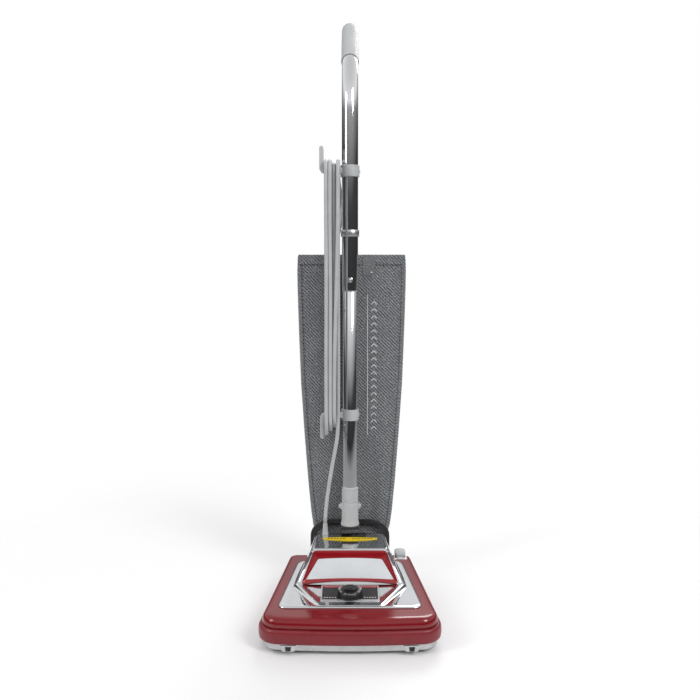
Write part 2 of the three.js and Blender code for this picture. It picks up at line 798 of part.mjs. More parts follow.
// ---- Wheels, height carriage and pedal ----
place(
  "rear_axle",
  rodX(axleRadius, -rearWheel.x + rearWheel.width / 2 - 6, rearWheel.x - rearWheel.width / 2 + 6, rearWheel.y,
    rearWheel.radius, 12),
  "steel",
);
function wheel(name, { radius, width, y }, x, hubRadius, hubDepth, side) {
  const [hub0, hub1] = spanX(side, side * x - width / 2 - 1, side * x - width / 2 + hubDepth);
  const tyre = rodX(radius, x - width / 2, x + width / 2, y, radius, 32);
  place(name, cut(tyre, rodX(hubRadius + runningGap, hub0, hub1, y, radius, 12)), "rubber");
}
for (const [side, word] of [[1, "right"], [-1, "left"]]) {
  wheel(`rear_wheel_${word}`, rearWheel, side * rearWheel.x, axleRadius, 7, side);
  wheel(`front_wheel_${word}`, frontWheel, side * frontWheel.x, 3, 8, side);
}
const stubReach = frontWheel.x - frontWheel.width / 2;
place(
  "front_carriage",
  join(
    block([-28, 28], [frontWheel.y - 4, carriagePivot.y], [19, 23]),
    block([-34, 34], [frontWheel.y - 6, frontWheel.y + 6], [11, 21]),
    rodX(3, -stubReach - 7, stubReach + 7, frontWheel.y, frontWheel.radius, 12),
    rodX(5, -60, 60, carriagePivot.y, carriagePivot.z, 12),
  ),
  "steel",
);

place(
  "release_pedal",
  join(
    block(pedalX, [323, 356], [60, 76]),
    block([pedalX[0] + 4.5, pedalX[1] - 4.5], [pedalPivotY, 328], [60, 67]),
    rodX(5.5, pedalX[0] + 4.5, pedalX[1] - 4.5, pedalPivotY, 62.5, 12),
  ),
  "greyPlastic",
);
class Coil extends THREE.Curve {
  getPoint(t, target = new THREE.Vector3()) {
    const angle = t * 5 * 2 * Math.PI;
    const reach = 5.5;
    return target.set(springX + reach * Math.cos(angle), springY + reach * Math.sin(angle), 45.6 + t * 12.8);
  }
}
place("pedal_spring", alongCurve(new Coil(), 0.8, 5, 50), "steel");
for (const [side, name] of [[1, "bail_pin_right"], [-1, "bail_pin_left"]]) {
  const [x0, x1] = spanX(side, bossNear - bossWidth + 1, bossFar + bossWidth);
  place(name, rodX(pinRadius, x0, x1, pivotY, pivotHeight, 16), "steel");
}
const reliefX = -53.6;
const reliefY = 252;
const reliefHeight = 26;
place(
  "strain_relief",
  rodZ(6.5, roofZ + gap, roofZ + gap + reliefHeight, reliefX, reliefY, 12, 4.6),
  "cordGrey",
);

// ---- Handle: bail, socket, tubes and grip ----
const archOuter = new THREE.Shape();
archOuter.moveTo(bailOuter, -10);
archOuter.lineTo(bailOuter, 62);
archOuter.quadraticCurveTo(bailOuter, crownTop - 8, bailOuter - 42, crownTop);
archOuter.lineTo(42 - bailOuter, crownTop);
archOuter.quadraticCurveTo(-bailOuter, crownTop - 8, -bailOuter, 62);
archOuter.lineTo(-bailOuter, -10);
const bailInner = bailOuter - bailStrap;
archOuter.lineTo(-bailInner, -10);
archOuter.lineTo(-bailInner, 58);
archOuter.quadraticCurveTo(-bailInner, crownTop - 20, 36 - bailInner, crownTop - 14);
archOuter.lineTo(bailInner - 36, crownTop - 14);
archOuter.quadraticCurveTo(bailInner, crownTop - 20, bailInner, 58);
archOuter.lineTo(bailInner, -10);
archOuter.closePath();
const arch = new THREE.ExtrudeGeometry(archOuter, { depth: bailSheet, bevelEnabled: false, curveSegments: 8 })
  .rotateX(Math.PI / 2)
  .translate(0, bailSheet / 2, 0);
const lugs = both((side) => rodX(9.5, ...spanX(side, bailInner, bailOuter), 0, 0, 20));
const tongue = block([-19, 19], [-tubeAhead - 20, bailSheet / 2], [crownTop - 6, crownTop]);
const bailHoles = both((side) =>
  rodX(pinRadius + gap, ...spanX(side, bailInner - 1, bailOuter + 1), 0, 0, 16),
);
place("handle_bail", cut(join(arch, ...lugs, tongue), ...bailHoles), "steel", handle);

const tubeY = -tubeAhead;
const boltHeight = 142;
const boltRadius = 3;
const tubeBore = lowerTubeRadius + gap;
const boltHole = rodX(boltRadius + gap, -30, 30, tubeY, boltHeight, 12);
place(
  "handle_socket",
  cut(
    join(
      rodZ(socketRadius + 2, crownTop + gap, crownTop + 12, 0, tubeY, 24, socketRadius),
      rodZ(socketRadius, crownTop + 11, socketTop, 0, tubeY),
      block([-21.8, 21.8], [tubeY - 7, tubeY + 7], [boltHeight - 6, boltHeight + 7]),
    ),
    rodZ(tubeBore, crownTop + 10, socketTop + 1, 0, tubeY),
    boltHole,
  ),
  "greyPlastic",
  handle,
);
place("socket_bolt", rodX(boltRadius, -24.5, 24.5, tubeY, boltHeight, 12), "steel", handle);
place(
  "handle_collar",
  pipeZ(collarRadius, tubeBore, socketTop + gap, collarTop, 0, tubeY),
  "greyPlastic",
  handle,
);

const snapRadius = 4;
const snapHole = rodY(snapRadius + gap, tubeY - 25, tubeY, 0, snapHeight, 12);
place(
  "lower_tube",
  cut(
    pipeZ(lowerTubeRadius, lowerTubeRadius - lowerTubeWall, crownTop + 10 + gap, lowerTubeTop, 0, tubeY),
    boltHole,
    snapHole,
  ),
  "chrome",
  handle,
);

function bendPoint(turn) {
  const back = bendRadius * (1 - Math.cos(turn));
  return new THREE.Vector3(0, tubeY + back, bendStart + bendRadius * Math.sin(turn));
}

const bendSteps = 11;
class UpperRun extends THREE.Curve {
  // Straight up in one step, back round the bend, and straight on into the grip in one step.
  constructor(beyond) {
    super();
    this.beyond = beyond;
  }
  getTangentAt(u, target = new THREE.Vector3()) {
    const bent = Math.min(Math.max(u * (bendSteps + 2) - 1, 0), bendSteps) / bendSteps;
    const turn = bent * bendAngle * degrees;
    return target.set(0, Math.sin(turn), Math.cos(turn));
  }
  getPointAt(u, target = new THREE.Vector3()) {
    const station = Math.round(u * (bendSteps + 2));
    if (station === 0) return target.set(0, tubeY, upperTubeFoot - this.beyond);
    const bent = Math.min(station - 1, bendSteps) / bendSteps;
    target.copy(bendPoint(bent * bendAngle * degrees));
    const straight = station > bendSteps + 1 ? gripLength - 6 + this.beyond : 0;
    return target.addScaledVector(this.getTangentAt(u), straight);
  }
}
place(
  "upper_tube",
  cut(
    alongCurve(new UpperRun(0), upperTubeRadius, 20, bendSteps + 2),
    alongCurve(new UpperRun(2), lowerTubeRadius + gap, 20, bendSteps + 2),
    snapHole,
  ),
  "chrome",
  handle,
);
place(
  "tube_snap_button",
  rodY(snapRadius, tubeY - upperTubeRadius - 2.5, tubeY - lowerTubeRadius + 3, 0, snapHeight, 16),
  "steel",
  handle,
);

const gripBore = upperTubeRadius + runningGap;
const gripEnd = 10;
const gripProfile = [
  [gripBore, 0], [gripRadius, 0], [gripRadius, gripLength - gripEnd], [gripRadius - 3, gripLength - 3],
  [gripRadius - gripEnd, gripLength], [0, gripLength], [0, gripLength - 4], [gripBore, gripLength - 4],
];
const grip = place("handle_grip", turned(gripProfile, 28), "greyPlastic", handle);
grip.position.copy(bendPoint(bendAngle * degrees));
grip.rotation.x = (90 - bendAngle) * degrees;

// ---- Cord hooks, bag hanger and bag ----
const hankY = tubeY - hankAhead;
function hook(tubeRadius, level, up) {
  const prongNear = upperTubeRadius + hookReach;
  const tip = level + up * (armHeight / 2 + prongLength);
  const root = level - up * (armHeight / 2);
  const armBox = block(
    [-prongNear - prong, -tubeRadius],
    [hankY - armDepth / 2, hankY + armDepth / 2],
    [level - armHeight / 2, level + armHeight / 2],
  );
  const prongBox = block(
    [-prongNear - prong, -prongNear],
    [hankY - armDepth / 2, hankY + armDepth / 2],
    [Math.min(root, tip), Math.max(root, tip)],
  );
  const band = rodZ(tubeRadius + 3, level - 12, level + 12, 0, tubeY);
  return cut(join(armBox, prongBox, band), rodZ(tubeRadius + gap, level - 70, level + 70, 0, tubeY));
}
place("upper_cord_hook", hook(upperTubeRadius, upperArm, 1), "greyPlastic", handle);
place("lower_cord_hook", hook(lowerTubeRadius, lowerArm, -1), "greyPlastic", handle);

const hangerBand = 722;
place(
  "bag_hanger",
  cut(
    join(
      rodZ(upperTubeRadius + 2.5, hangerBand, hangerBand + 14, 0, tubeY),
      block([-6, 6], [tubeY + upperTubeRadius, 12], [hangerBand + 4, hangerBand + 8]),
      block([-6, 6], [8, 12], [bagTop + gap, hangerBand + 8]),
    ),
    rodZ(upperTubeRadius + gap, hangerBand - 5, hangerBand + 20, 0, tubeY),
  ),
  "steel",
  handle,
);

// Level, half width, front and back of the hanging bag.
const bagLevels = [
  [bagFloor, 84, 9, 48],
  [112, 92, 5, 62],
  [180, 98, -2, 66],
  [290, 106, -10, 70],
  [400, 113, -11, 72],
  [520, 117, -11, 68],
  [610, 119, -10, 54],
  [650, 119, -6, 36],
  [bagTop - 4, 117, 2, 18],
  [bagTop, 112, 4, 15],
];
place(
  "dust_bag",
  hull(
    ...bagLevels.map(([z, half, front, back]) => {
      const deep = (back - front) / 2;
      const edge = Math.min(deep, 26);
      return both((side) =>
        [0, 1, 2, 3, 4].map((i) => {
          const turn = (i / 4 - 0.5) * Math.PI;
          const x = side * (half - edge + edge * Math.cos(turn)) + bagShift;
          return new THREE.Vector3(x, (front + back) / 2 + deep * Math.sin(turn), z);
        }),
      ).flat();
    }),
  ),
  "cloth",
  handle,
);

// ---- Mains lead: tail, wound hank and plug ----
const armClear = Math.sqrt(hankInner ** 2 - (armDepth / 2) ** 2) - 2 * gap;
const hankTop = upperArm + armHeight / 2 - armClear;
const hankFoot = lowerArm - armHeight / 2 + armClear;
const hankNear = upperTubeRadius + 3 + gap;
const hankFar = upperTubeRadius + hookReach - gap;
function runway(radius) {
  const shape = new THREE.Shape();
  shape.absarc(hankY, hankTop, radius, 0, Math.PI, false);
  shape.absarc(hankY, hankFoot, radius, Math.PI, 2 * Math.PI, false);
  shape.closePath();
  return shape;
}
const hankShape = runway(hankOuter);
hankShape.holes.push(new THREE.Path(runway(hankInner).getPoints(10)));
const hankSolid = new THREE.ExtrudeGeometry(hankShape, {
  depth: hankFar - hankNear,
  bevelEnabled: false,
  curveSegments: 10,
});
// The outline lies in XY; turning it stands it in YZ with its depth along X.
const standUp = new THREE.Matrix4().makeBasis(
  new THREE.Vector3(0, 1, 0),
  new THREE.Vector3(0, 0, 1),
  new THREE.Vector3(1, 0, 0),
);
place("cord_hank", hankSolid.applyMatrix4(standUp).translate(-hankFar, 0, 0), "cordGrey", handle);

// The tail's route from the strain relief up to the hank, in the base's frame.
const tailRoute = new THREE.CatmullRomCurve3(
  [
    [-53.6, 252, 173],
    [-53.2, 252.2, 190],
    [-50.5, 253, 220],
    [-44.5, 252.5, 262],
    [-36.5, 250, 310],
    [-29, 246.5, 350],
    [-25.2, 244.6, 378],
    [-24.7, 244.4, 389.2],
  ].map(([x, y, z]) => new THREE.Vector3(x, y, z)),
);
place("cord_tail", alongCurve(tailRoute, cordDiameter / 2, 8, 14), "cordGrey");

const plugX = -(hankNear + hankFar) / 2;
place(
  "mains_plug",
  join(
    rodZ(7, 600, 618, plugX, hankY, 12, 5),
    block([plugX - 12, plugX + 12], [hankY - 9, hankY + 9], [618 - 46, 601]),
    block([plugX - 7.5, plugX - 6], [hankY - 3, hankY + 3], [554, 573]),
    block([plugX + 6, plugX + 7.5], [hankY - 3, hankY + 3], [554, 573]),
  ),
  "cordGrey",
  handle,
);

// The origin sits under the middle of the machine, on the floor.
machine.updateMatrixWorld(true);
const bounds = new THREE.Box3();
const onCord = new Set(["cord_tail", "cord_hank", "mains_plug", "strain_relief"]);
machine.traverse((node) => {
  if (node.isMesh && !onCord.has(node.name)) bounds.expandByObject(node, true);
});
const middle = bounds.getCenter(new THREE.Vector3());
machine.position.set(-middle.x, -middle.y, -bounds.min.z);

const vacuum = new THREE.Group();
vacuum.add(machine);
export default vacuum;
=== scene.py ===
# Upright vacuum cleaner: a low red floor base under a plated motor hood, and a tilting tube
# handle that carries a cloth dust bag and a wound mains lead. Metres, +Z up, front towards -Y.
import json
from math import atan2, cos, pi, radians, sin, sqrt, tau

import bmesh
import bpy
from mathutils import Matrix, Vector, noise


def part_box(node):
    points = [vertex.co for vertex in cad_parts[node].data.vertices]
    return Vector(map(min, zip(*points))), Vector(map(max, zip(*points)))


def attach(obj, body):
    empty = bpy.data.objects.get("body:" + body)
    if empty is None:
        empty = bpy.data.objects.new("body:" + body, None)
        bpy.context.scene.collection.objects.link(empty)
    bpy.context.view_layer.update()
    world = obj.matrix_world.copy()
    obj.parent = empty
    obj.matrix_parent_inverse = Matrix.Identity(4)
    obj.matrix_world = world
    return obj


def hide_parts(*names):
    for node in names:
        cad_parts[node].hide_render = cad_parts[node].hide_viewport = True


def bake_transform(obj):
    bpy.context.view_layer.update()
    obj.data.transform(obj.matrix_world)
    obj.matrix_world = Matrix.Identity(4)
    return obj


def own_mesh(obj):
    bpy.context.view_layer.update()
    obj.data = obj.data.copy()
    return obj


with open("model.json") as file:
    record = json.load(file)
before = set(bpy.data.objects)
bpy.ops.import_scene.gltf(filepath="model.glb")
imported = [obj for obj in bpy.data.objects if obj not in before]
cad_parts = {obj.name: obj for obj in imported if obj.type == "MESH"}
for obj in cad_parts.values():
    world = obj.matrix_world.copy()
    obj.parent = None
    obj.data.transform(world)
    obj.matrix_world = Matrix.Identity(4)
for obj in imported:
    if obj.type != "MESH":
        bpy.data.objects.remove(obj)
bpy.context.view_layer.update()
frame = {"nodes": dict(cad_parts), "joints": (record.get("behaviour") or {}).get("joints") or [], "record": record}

# ---- Camera: eye a little above half the handle's height, looking slightly down ----
# It faces the front squarely, so that the base looks wide and the handle stands upright.
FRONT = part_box("furniture_guard")[0][1]
EYE_BACK, EYE_UP, LOOK_DOWN = 1.42, 0.785, 8
eye = Vector((0.0, FRONT - EYE_BACK, EYE_UP))
lens_data = bpy.data.cameras.new("camera")
lens_data.lens = 41.4
lens_data.sensor_width = 36.0
camera = bpy.data.objects.new("camera", lens_data)
camera.location = eye
camera.rotation_euler = (radians(90 - LOOK_DOWN), 0, 0)
bpy.context.scene.collection.objects.link(camera)
bpy.context.scene.camera = camera

# ---- Mains lead: round grey cord, moulded plug and tapered strain relief ----
# The lead leaves the hood through its relief and is wound on the two hooks in two layers,
# and its end drops into the hollow of the hank, where the plug is tucked away.
CORD = 0.008
joints = {joint["name"]: joint for joint in frame["joints"]}
PIVOT = Vector(joints["handle_tilt"]["pos_m"])
LEAN = radians(3)
UPRIGHT = Matrix.Translation(PIVOT) @ Matrix.Rotation(-LEAN, 4, "X")
SHIFT = Vector((0, FRONT, 0))


def added(nodes, kind, **inputs):
    """A new shader node with its constants set; an underscore stands for a space in a socket's name."""
    node = nodes.new("ShaderNode" + kind)
    for label, value in inputs.items():
        node.inputs[label.replace("_", " ")].default_value = value
    return node


def ranged(nodes, links, source, low, high, bottom=0.0, top=1.0):
    """Maps a value from bottom..top to low..high."""
    node = added(nodes, "MapRange", From_Min=bottom, From_Max=top, To_Min=low, To_Max=high)
    links.new(source, node.inputs["Value"])
    return node.outputs["Result"]


def product(nodes, links, *sides):
    """Two values multiplied; each is a number or a socket."""
    node = nodes.new("ShaderNodeMath")
    node.operation = "MULTIPLY"
    for socket, side in zip(node.inputs, sides):
        if isinstance(side, float):
            socket.default_value = side
        else:
            links.new(side, socket)
    return node.outputs[0]


def wear_group(name="wear"):
    """Uneven tone, broad smudges and a fine grain, for any finish."""
    group = bpy.data.node_groups.new(name, "ShaderNodeTree")
    face = group.interface
    for label, start in (("Patch", 9.0), ("Grain", 900.0)):
        face.new_socket(label, in_out="INPUT", socket_type="NodeSocketFloat").default_value = start
    for label in ("Tone", "Smudge", "Height"):
        face.new_socket(label, in_out="OUTPUT", socket_type="NodeSocketFloat")
    nodes, links = group.nodes, group.links
    inlet, outlet = nodes.new("NodeGroupInput"), nodes.new("NodeGroupOutput")
    place = added(nodes, "TexCoord")
    for socket, source, detail, target in (
        ("Patch", 3.0, 3.0, "Tone"), ("Patch", 0.45, 6.0, "Smudge"), ("Grain", 1.0, 2.0, "Height"),
    ):
        cloud = added(nodes, "TexNoise", Detail=detail, Roughness=0.6)
        links.new(place.outputs["Object"], cloud.inputs["Vector"])
        links.new(product(nodes, links, inlet.outputs[socket], source), cloud.inputs["Scale"])
        links.new(ranged(nodes, links, cloud.outputs["Fac"], 0.0, 1.0, 0.3, 0.7), outlet.inputs[target])
    return group


def dust_group(name="settled_dust"):
    """A thin film of dust where a face looks up, broken by noise."""
    group = bpy.data.node_groups.new(name, "ShaderNodeTree")
    face = group.interface
    face.new_socket("Amount", in_out="INPUT", socket_type="NodeSocketFloat").default_value = 0.3
    face.new_socket("Dust", in_out="OUTPUT", socket_type="NodeSocketFloat")
    nodes, links = group.nodes, group.links
    inlet, outlet = nodes.new("NodeGroupInput"), nodes.new("NodeGroupOutput")
    place = added(nodes, "TexCoord")
    split = added(nodes, "SeparateXYZ")
    links.new(place.outputs["Normal"], split.inputs[0])
    cloud = added(nodes, "TexNoise", Scale=60.0, Detail=8.0)
    links.new(place.outputs["Object"], cloud.inputs["Vector"])
    up = ranged(nodes, links, split.outputs["Z"], 0.0, 1.0, 0.2)
    spots = ranged(nodes, links, cloud.outputs["Fac"], 0.0, 1.0, 0.4, 0.75)
    share = product(nodes, links, product(nodes, links, up, spots), inlet.outputs["Amount"])
    links.new(share, outlet.inputs["Dust"])
    return group


WEAR = wear_group()
DUST = dust_group()
DUST_COLOUR = (0.42, 0.4, 0.37, 1.0)


def placed(nodes, group, **values):
    node = nodes.new("ShaderNodeGroup")
    node.node_tree = group
    for label, value in values.items():
        node.inputs[label].default_value = value
    return node


def blend_colours(nodes, links, factor, first, second):
    """A colour mix; each side is a colour or a socket."""
    mix = nodes.new("ShaderNodeMix")
    mix.data_type = "RGBA"
    links.new(factor, mix.inputs["Factor"])
    for side, label in ((first, "A"), (second, "B")):
        socket = next(s for s in mix.inputs if s.name == label and s.type == "RGBA")
        if isinstance(side, tuple):
            socket.default_value = side
        else:
            links.new(side, socket)
    return next(s for s in mix.outputs if s.type == "RGBA")


def surfaced(nodes, links, colour, dust, wear, rough, height, relief):
    """Joins a colour under a film of dust, a smudged roughness and a fine relief to the shader."""
    shader = nodes["Principled BSDF"]
    film = placed(nodes, DUST, Amount=dust)
    dusty = blend_colours(nodes, links, film.outputs["Dust"], colour, DUST_COLOUR)
    links.new(dusty, shader.inputs["Base Color"])
    links.new(ranged(nodes, links, wear.outputs["Smudge"], *rough), shader.inputs["Roughness"])
    bump = added(nodes, "Bump", Distance=relief)
    links.new(height, bump.inputs["Height"])
    links.new(bump.outputs["Normal"], shader.inputs["Normal"])


def finish_of(name, colour, rough, patch=9.0, grain=900.0, relief=0.00004, dust=0.25, tone=0.12, **sockets):
    """A worn, slightly uneven finish: rough is its (clean, smudged) roughness, relief its grain's height."""
    material = bpy.data.materials.new(name)
    material.use_nodes = True
    nodes, links = material.node_tree.nodes, material.node_tree.links
    shader = nodes["Principled BSDF"]
    for label, value in sockets.items():
        shader.inputs[label.replace("_", " ")].default_value = value
    wear = placed(nodes, WEAR, Patch=patch, Grain=grain)
    dark = tuple(c * (1 - tone) for c in colour) + (1.0,)
    light = tuple(min(c * (1 + tone), 1.0) for c in colour) + (1.0,)
    toned = blend_colours(nodes, links, wear.outputs["Tone"], dark, light)
    surfaced(nodes, links, toned, dust, wear, rough, wear.outputs["Height"], relief)
    return material


def piece(name, mesh_maker, material, slot, body, *nodes, sharp=40, place=None):
    """Makes a named piece from a bmesh, with its material, its body and the CAD nodes it stands for.

    A piece without a body is left without a parent.
    """
    if place is not None:
        bmesh.ops.transform(mesh_maker, matrix=place, verts=mesh_maker.verts)
    for face in mesh_maker.faces:
        face.smooth = True
    for edge in mesh_maker.edges:
        if len(edge.link_faces) == 2:
            edge.smooth = edge.calc_face_angle(0) < radians(sharp)
    mesh = bpy.data.meshes.new(name)
    mesh_maker.to_mesh(mesh)
    mesh_maker.free()
    thing = bpy.data.objects.new(name, mesh)
    bpy.context.scene.collection.objects.link(thing)
    thing.data.materials.append(material)
    if body is not None:
        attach(thing, body)
    if nodes:
        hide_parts(*nodes)
    return thing


def on_handle(name, mesh_maker, material, slot, *nodes, sharp=40):
    """A piece of the handle, drawn upright and leaned back with it."""
    return piece(name, mesh_maker, material, slot, "handle", *nodes, sharp=sharp, place=UPRIGHT)


def turned(profile, axis="Z", at=(0, 0, 0), steps=48):
    """Spins an outline of (radius, height) corners about an axis."""
    made = bmesh.new()
    verts = [made.verts.new((r, 0, h)) for r, h in profile]
    edges = [made.edges.new(pair) for pair in zip(verts, verts[1:])]
    bmesh.ops.spin(
        made, geom=verts + edges, cent=(0, 0, 0), axis=(0, 0, 1), angle=tau, steps=steps, use_merge=True,
    )
    bmesh.ops.remove_doubles(made, verts=made.verts, dist=1e-6)
    bmesh.ops.recalc_face_normals(made, faces=made.faces)
    turn = {"Z": Matrix(), "X": Matrix.Rotation(pi / 2, 4, "Y"), "Y": Matrix.Rotation(-pi / 2, 4, "X")}[axis]
    bmesh.ops.transform(made, matrix=Matrix.Translation(at) @ turn, verts=made.verts)
    return made


def rounded_block(low, high, radius, segments=3):
    """A block between two corners with its edges rounded."""
    made = bmesh.new()
    low, high = Vector(low), Vector(high)
    size = Matrix.Diagonal((*(high - low), 1))
    bmesh.ops.create_cube(made, size=1, matrix=Matrix.Translation((low + high) / 2) @ size)
    bmesh.ops.bevel(
        made, geom=made.edges[:], offset=radius, affect="EDGES", segments=segments, profile=0.5, material=-1,
    )
    return made


def together(*shapes):
    """Several shapes as one."""
    made, rest = shapes[0], shapes[1:]
    for shape in rest:
        passing = bpy.data.meshes.new("passing")
        shape.to_mesh(passing)
        shape.free()
        made.from_mesh(passing)
        bpy.data.meshes.remove(passing)
    return made


cord_grey = finish_of("cord_grey", (0.50, 0.51, 0.515), (0.38, 0.55), grain=1500, dust=0.1, tone=0.06)

# The tail rises from the relief to the foot of the hank; its points are in the base's frame.
tail_points = [
    (-0.0536, 0.252, 0.173), (-0.0532, 0.2522, 0.190), (-0.0505, 0.253, 0.220), (-0.0445, 0.2525, 0.262),
    (-0.0365, 0.250, 0.310), (-0.029, 0.2465, 0.350), (-0.0252, 0.2446, 0.378), (-0.0247, 0.2444, 0.3892),
]
HANK_Y = -0.0487
HANK_TOP = 0.8463
HANK_FOOT = 0.3547
LANES = [-0.0247, -0.0330, -0.0413, -0.0496]
INNER = 0.0242
OUTER = 0.0320


def eased(t):
    return t * t * (3 - 2 * t)


def half_turn(x, centre, radius, start):
    """Half a turn round a hook, in the handle's own frame; start is 0 over the top, pi under the foot."""
    points = []
    for i in range(13):
        angle = start + pi * i / 12
        points.append((x, HANK_Y - radius * cos(angle), centre + radius * sin(angle)))
    return points


def run(x0, x1, r0, r1, side, low, high, wander, seed):
    """A nearly straight run along the hank, drifting from one lane and layer to the next."""
    points = []
    for i in range(1, 9):
        t = i / 9
        drift = wander * sin(pi * t) * sin(tau * t + seed)
        x = x0 + (x1 - x0) * eased(t) + drift * 0.5
        radius = r0 + (r1 - r0) * eased(t) + abs(drift) * (1 if r1 > INNER + 0.001 else 0)
        points.append((x, HANK_Y + side * radius, low + (high - low) * t))
    return points


# (lane going up the front, lane down the back, layer up, layer down, how far its foot hangs low)
turns = [
    (0, 1, INNER, INNER, 0.0), (1, 2, INNER, INNER, 0.0), (2, 3, INNER, INNER, 0.0),
    (3, 3, INNER, OUTER, 0.020), (3, 2, OUTER, OUTER, 0.011), (2, 1, OUTER, OUTER, 0.003),
]
route = []
foot = HANK_FOOT - 0.02
for number, (up, down, layer_up, layer_down, hang) in enumerate(turns):
    wander = 0.0016 if layer_up == OUTER else 0.0
    route += run(LANES[up], LANES[up], layer_up, layer_up, -1, foot, HANK_TOP, wander, number)
    route += half_turn(LANES[up], HANK_TOP, layer_up, 0)
    foot = HANK_FOOT - hang
    route += run(LANES[up], LANES[down], layer_up, layer_down, 1, HANK_TOP, foot, wander, number + 2)
    route += half_turn(LANES[down], foot, layer_down, pi)
route += run(LANES[1], LANES[0], OUTER, OUTER, -1, foot, HANK_TOP, 0.0012, 3)
route += half_turn(LANES[0], HANK_TOP, OUTER, 0)
# Down the back, round the first lane's edge into the hollow, and into the plug's boot.
plug_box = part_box("mains_plug")
PLUG_X = (plug_box[0][0] + plug_box[1][0]) / 2
BOOT_TOP = 0.618
route += [
    (-0.0225, -0.0172, 0.828), (-0.0180, -0.0195, 0.805), (-0.0168, -0.0240, 0.782),
    (-0.0182, -0.0300, 0.760),
    (-0.0225, -0.0350, 0.738), (-0.0280, -0.0400, 0.714), (-0.0330, -0.0445, 0.688),
    (-0.0365, HANK_Y + 0.001, 0.662), (PLUG_X, HANK_Y, 0.640), (PLUG_X, HANK_Y, BOOT_TOP - 0.003),
]
line = bpy.data.curves.new("lead_line", "CURVE")
line.dimensions = "3D"
strand = line.splines.new("NURBS")
places = [SHIFT + Vector(p) for p in tail_points[:-1]] + [UPRIGHT @ Vector(p) for p in route]
strand.points.add(len(places) - 1)
for point, spot in zip(strand.points, places):
    point.co = (*spot, 1.0)
strand.order_u = 4
strand.use_endpoint_u = True
strand.resolution_u = 4
line_object = bpy.data.objects.new("lead_line", line)
bpy.context.scene.collection.objects.link(line_object)
bpy.context.view_layer.update()
line_mesh = bpy.data.meshes.new_from_object(line_object.evaluated_get(bpy.context.evaluated_depsgraph_get()))
centreline = [vert.co.copy() for vert in line_mesh.vertices]
bpy.data.objects.remove(line_object)
bpy.data.curves.remove(line)
bpy.data.meshes.remove(line_mesh)


def loft(rings, caps=(True, True), joined=False):
    """Skins a closed ring of points, level after level, by extruding its edges."""
    made = bmesh.new()
    verts = [made.verts.new(point) for point in rings[0]]
    first = edges = [made.edges.new(pair) for pair in zip(verts, verts[1:] + verts[:1])]
    if caps[0]:
        made.faces.new(verts)
    for ring in rings[1:]:
        grown = bmesh.ops.extrude_edge_only(made, edges=edges)["geom"]
        fresh = {part for part in grown if isinstance(part, bmesh.types.BMVert)}
        verts = [next(e.other_vert(v) for e in v.link_edges if e.other_vert(v) in fresh) for v in verts]
        for vert, point in zip(verts, ring):
            vert.co = point
        edges = [made.edges.get(pair) for pair in zip(verts, verts[1:] + verts[:1])]
    if caps[1]:
        made.faces.new(verts)
    if joined:
        bmesh.ops.bridge_loops(made, edges=first + edges)
    bmesh.ops.recalc_face_normals(made, faces=made.faces)
    return made


# The jacket is skinned round the centreline with a frame carried along it, so that it never twists.
JACKET_SIDES = 12
jacket_rings = []
side = Vector((1, 0, 0))
for i, spot in enumerate(centreline):
    way = (centreline[min(i + 1, len(centreline) - 1)] - centreline[max(i - 1, 0)]).normalized()
    side = (side - way * side.dot(way)).normalized()
    front = way.cross(side)
    turns_round = [tau * k / JACKET_SIDES for k in range(JACKET_SIDES)]
    jacket_rings.append([spot + (side * cos(a) + front * sin(a)) * CORD / 2 for a in turns_round])
lead = piece(
    "mains_lead", loft(jacket_rings), cord_grey, "cord_jacket", None, "cord_tail", "cord_hank", sharp=180,
)

# The relief is a tapered boot moulded on the lead, with cushioning ribs round it.
relief_low, relief_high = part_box("strain_relief")
RELIEF = ((relief_low.x + relief_high.x) / 2, (relief_low.y + relief_high.y) / 2)
relief_profile = [(CORD / 2 - 0.0006, relief_low.z), (0.0065, relief_low.z), (0.0065, relief_low.z + 0.003)]
for rib in range(6):
    level = relief_low.z + 0.0045 + rib * 0.0034
    wide = 0.0061 - rib * 0.00024
    relief_profile += [(wide - 0.0009, level - 0.0008), (wide - 0.0009, level), (wide, level + 0.0005)]
    relief_profile += [(wide, level + 0.0018)]
relief_profile += [
    (0.0047, relief_high.z - 0.0006), (0.0044, relief_high.z), (CORD / 2 - 0.0006, relief_high.z),
]
relief = piece(
    "strain_relief_boot", turned(relief_profile, at=(*RELIEF, 0), steps=32), cord_grey, "cord_jacket", "base",
    "strain_relief",
)

# The plug: a moulded two-blade body with a waist for the fingers, and a ribbed boot.
plug_metal = finish_of("blade_metal", (0.62, 0.56, 0.42), (0.2, 0.4), Metallic=1.0, dust=0.0)
PLUG_FOOT, PLUG_LONG = 0.572, 0.0285
body = rounded_block(
    (PLUG_X - 0.012, HANK_Y - 0.009, PLUG_FOOT), (PLUG_X + 0.012, HANK_Y + 0.009, PLUG_FOOT + PLUG_LONG),
    0.0035, 4,
)
for vert in body.verts:
    pinch = 1 - 0.16 * sin(pi * (vert.co.z - PLUG_FOOT) / PLUG_LONG)
    vert.co.x = PLUG_X + (vert.co.x - PLUG_X) * pinch
boot_profile = [(0.0, 0.5995), (0.0075, 0.5995)]
for rib in range(4):
    level = 0.602 + rib * 0.0036
    wide = 0.0068 - rib * 0.0005
    boot_profile += [(wide - 0.0012, level - 0.0006), (wide, level), (wide, level + 0.0018)]
boot_profile += [(0.0046, BOOT_TOP), (0.0, BOOT_TOP)]
boot = turned(boot_profile, at=(PLUG_X, HANK_Y, 0), steps=28)
plug = on_handle("plug_body", together(body, boot), cord_grey, "cord_jacket", "mains_plug")
blades = [
    rounded_block(
        (PLUG_X + x - 0.0008, HANK_Y - 0.003, 0.554), (PLUG_X + x + 0.0008, HANK_Y + 0.003, 0.574), 0.0005,
    )
    for x in (-0.0065, 0.0065)
]
plug_blades = on_handle("plug_blades", together(*blades), plug_metal, "steel")
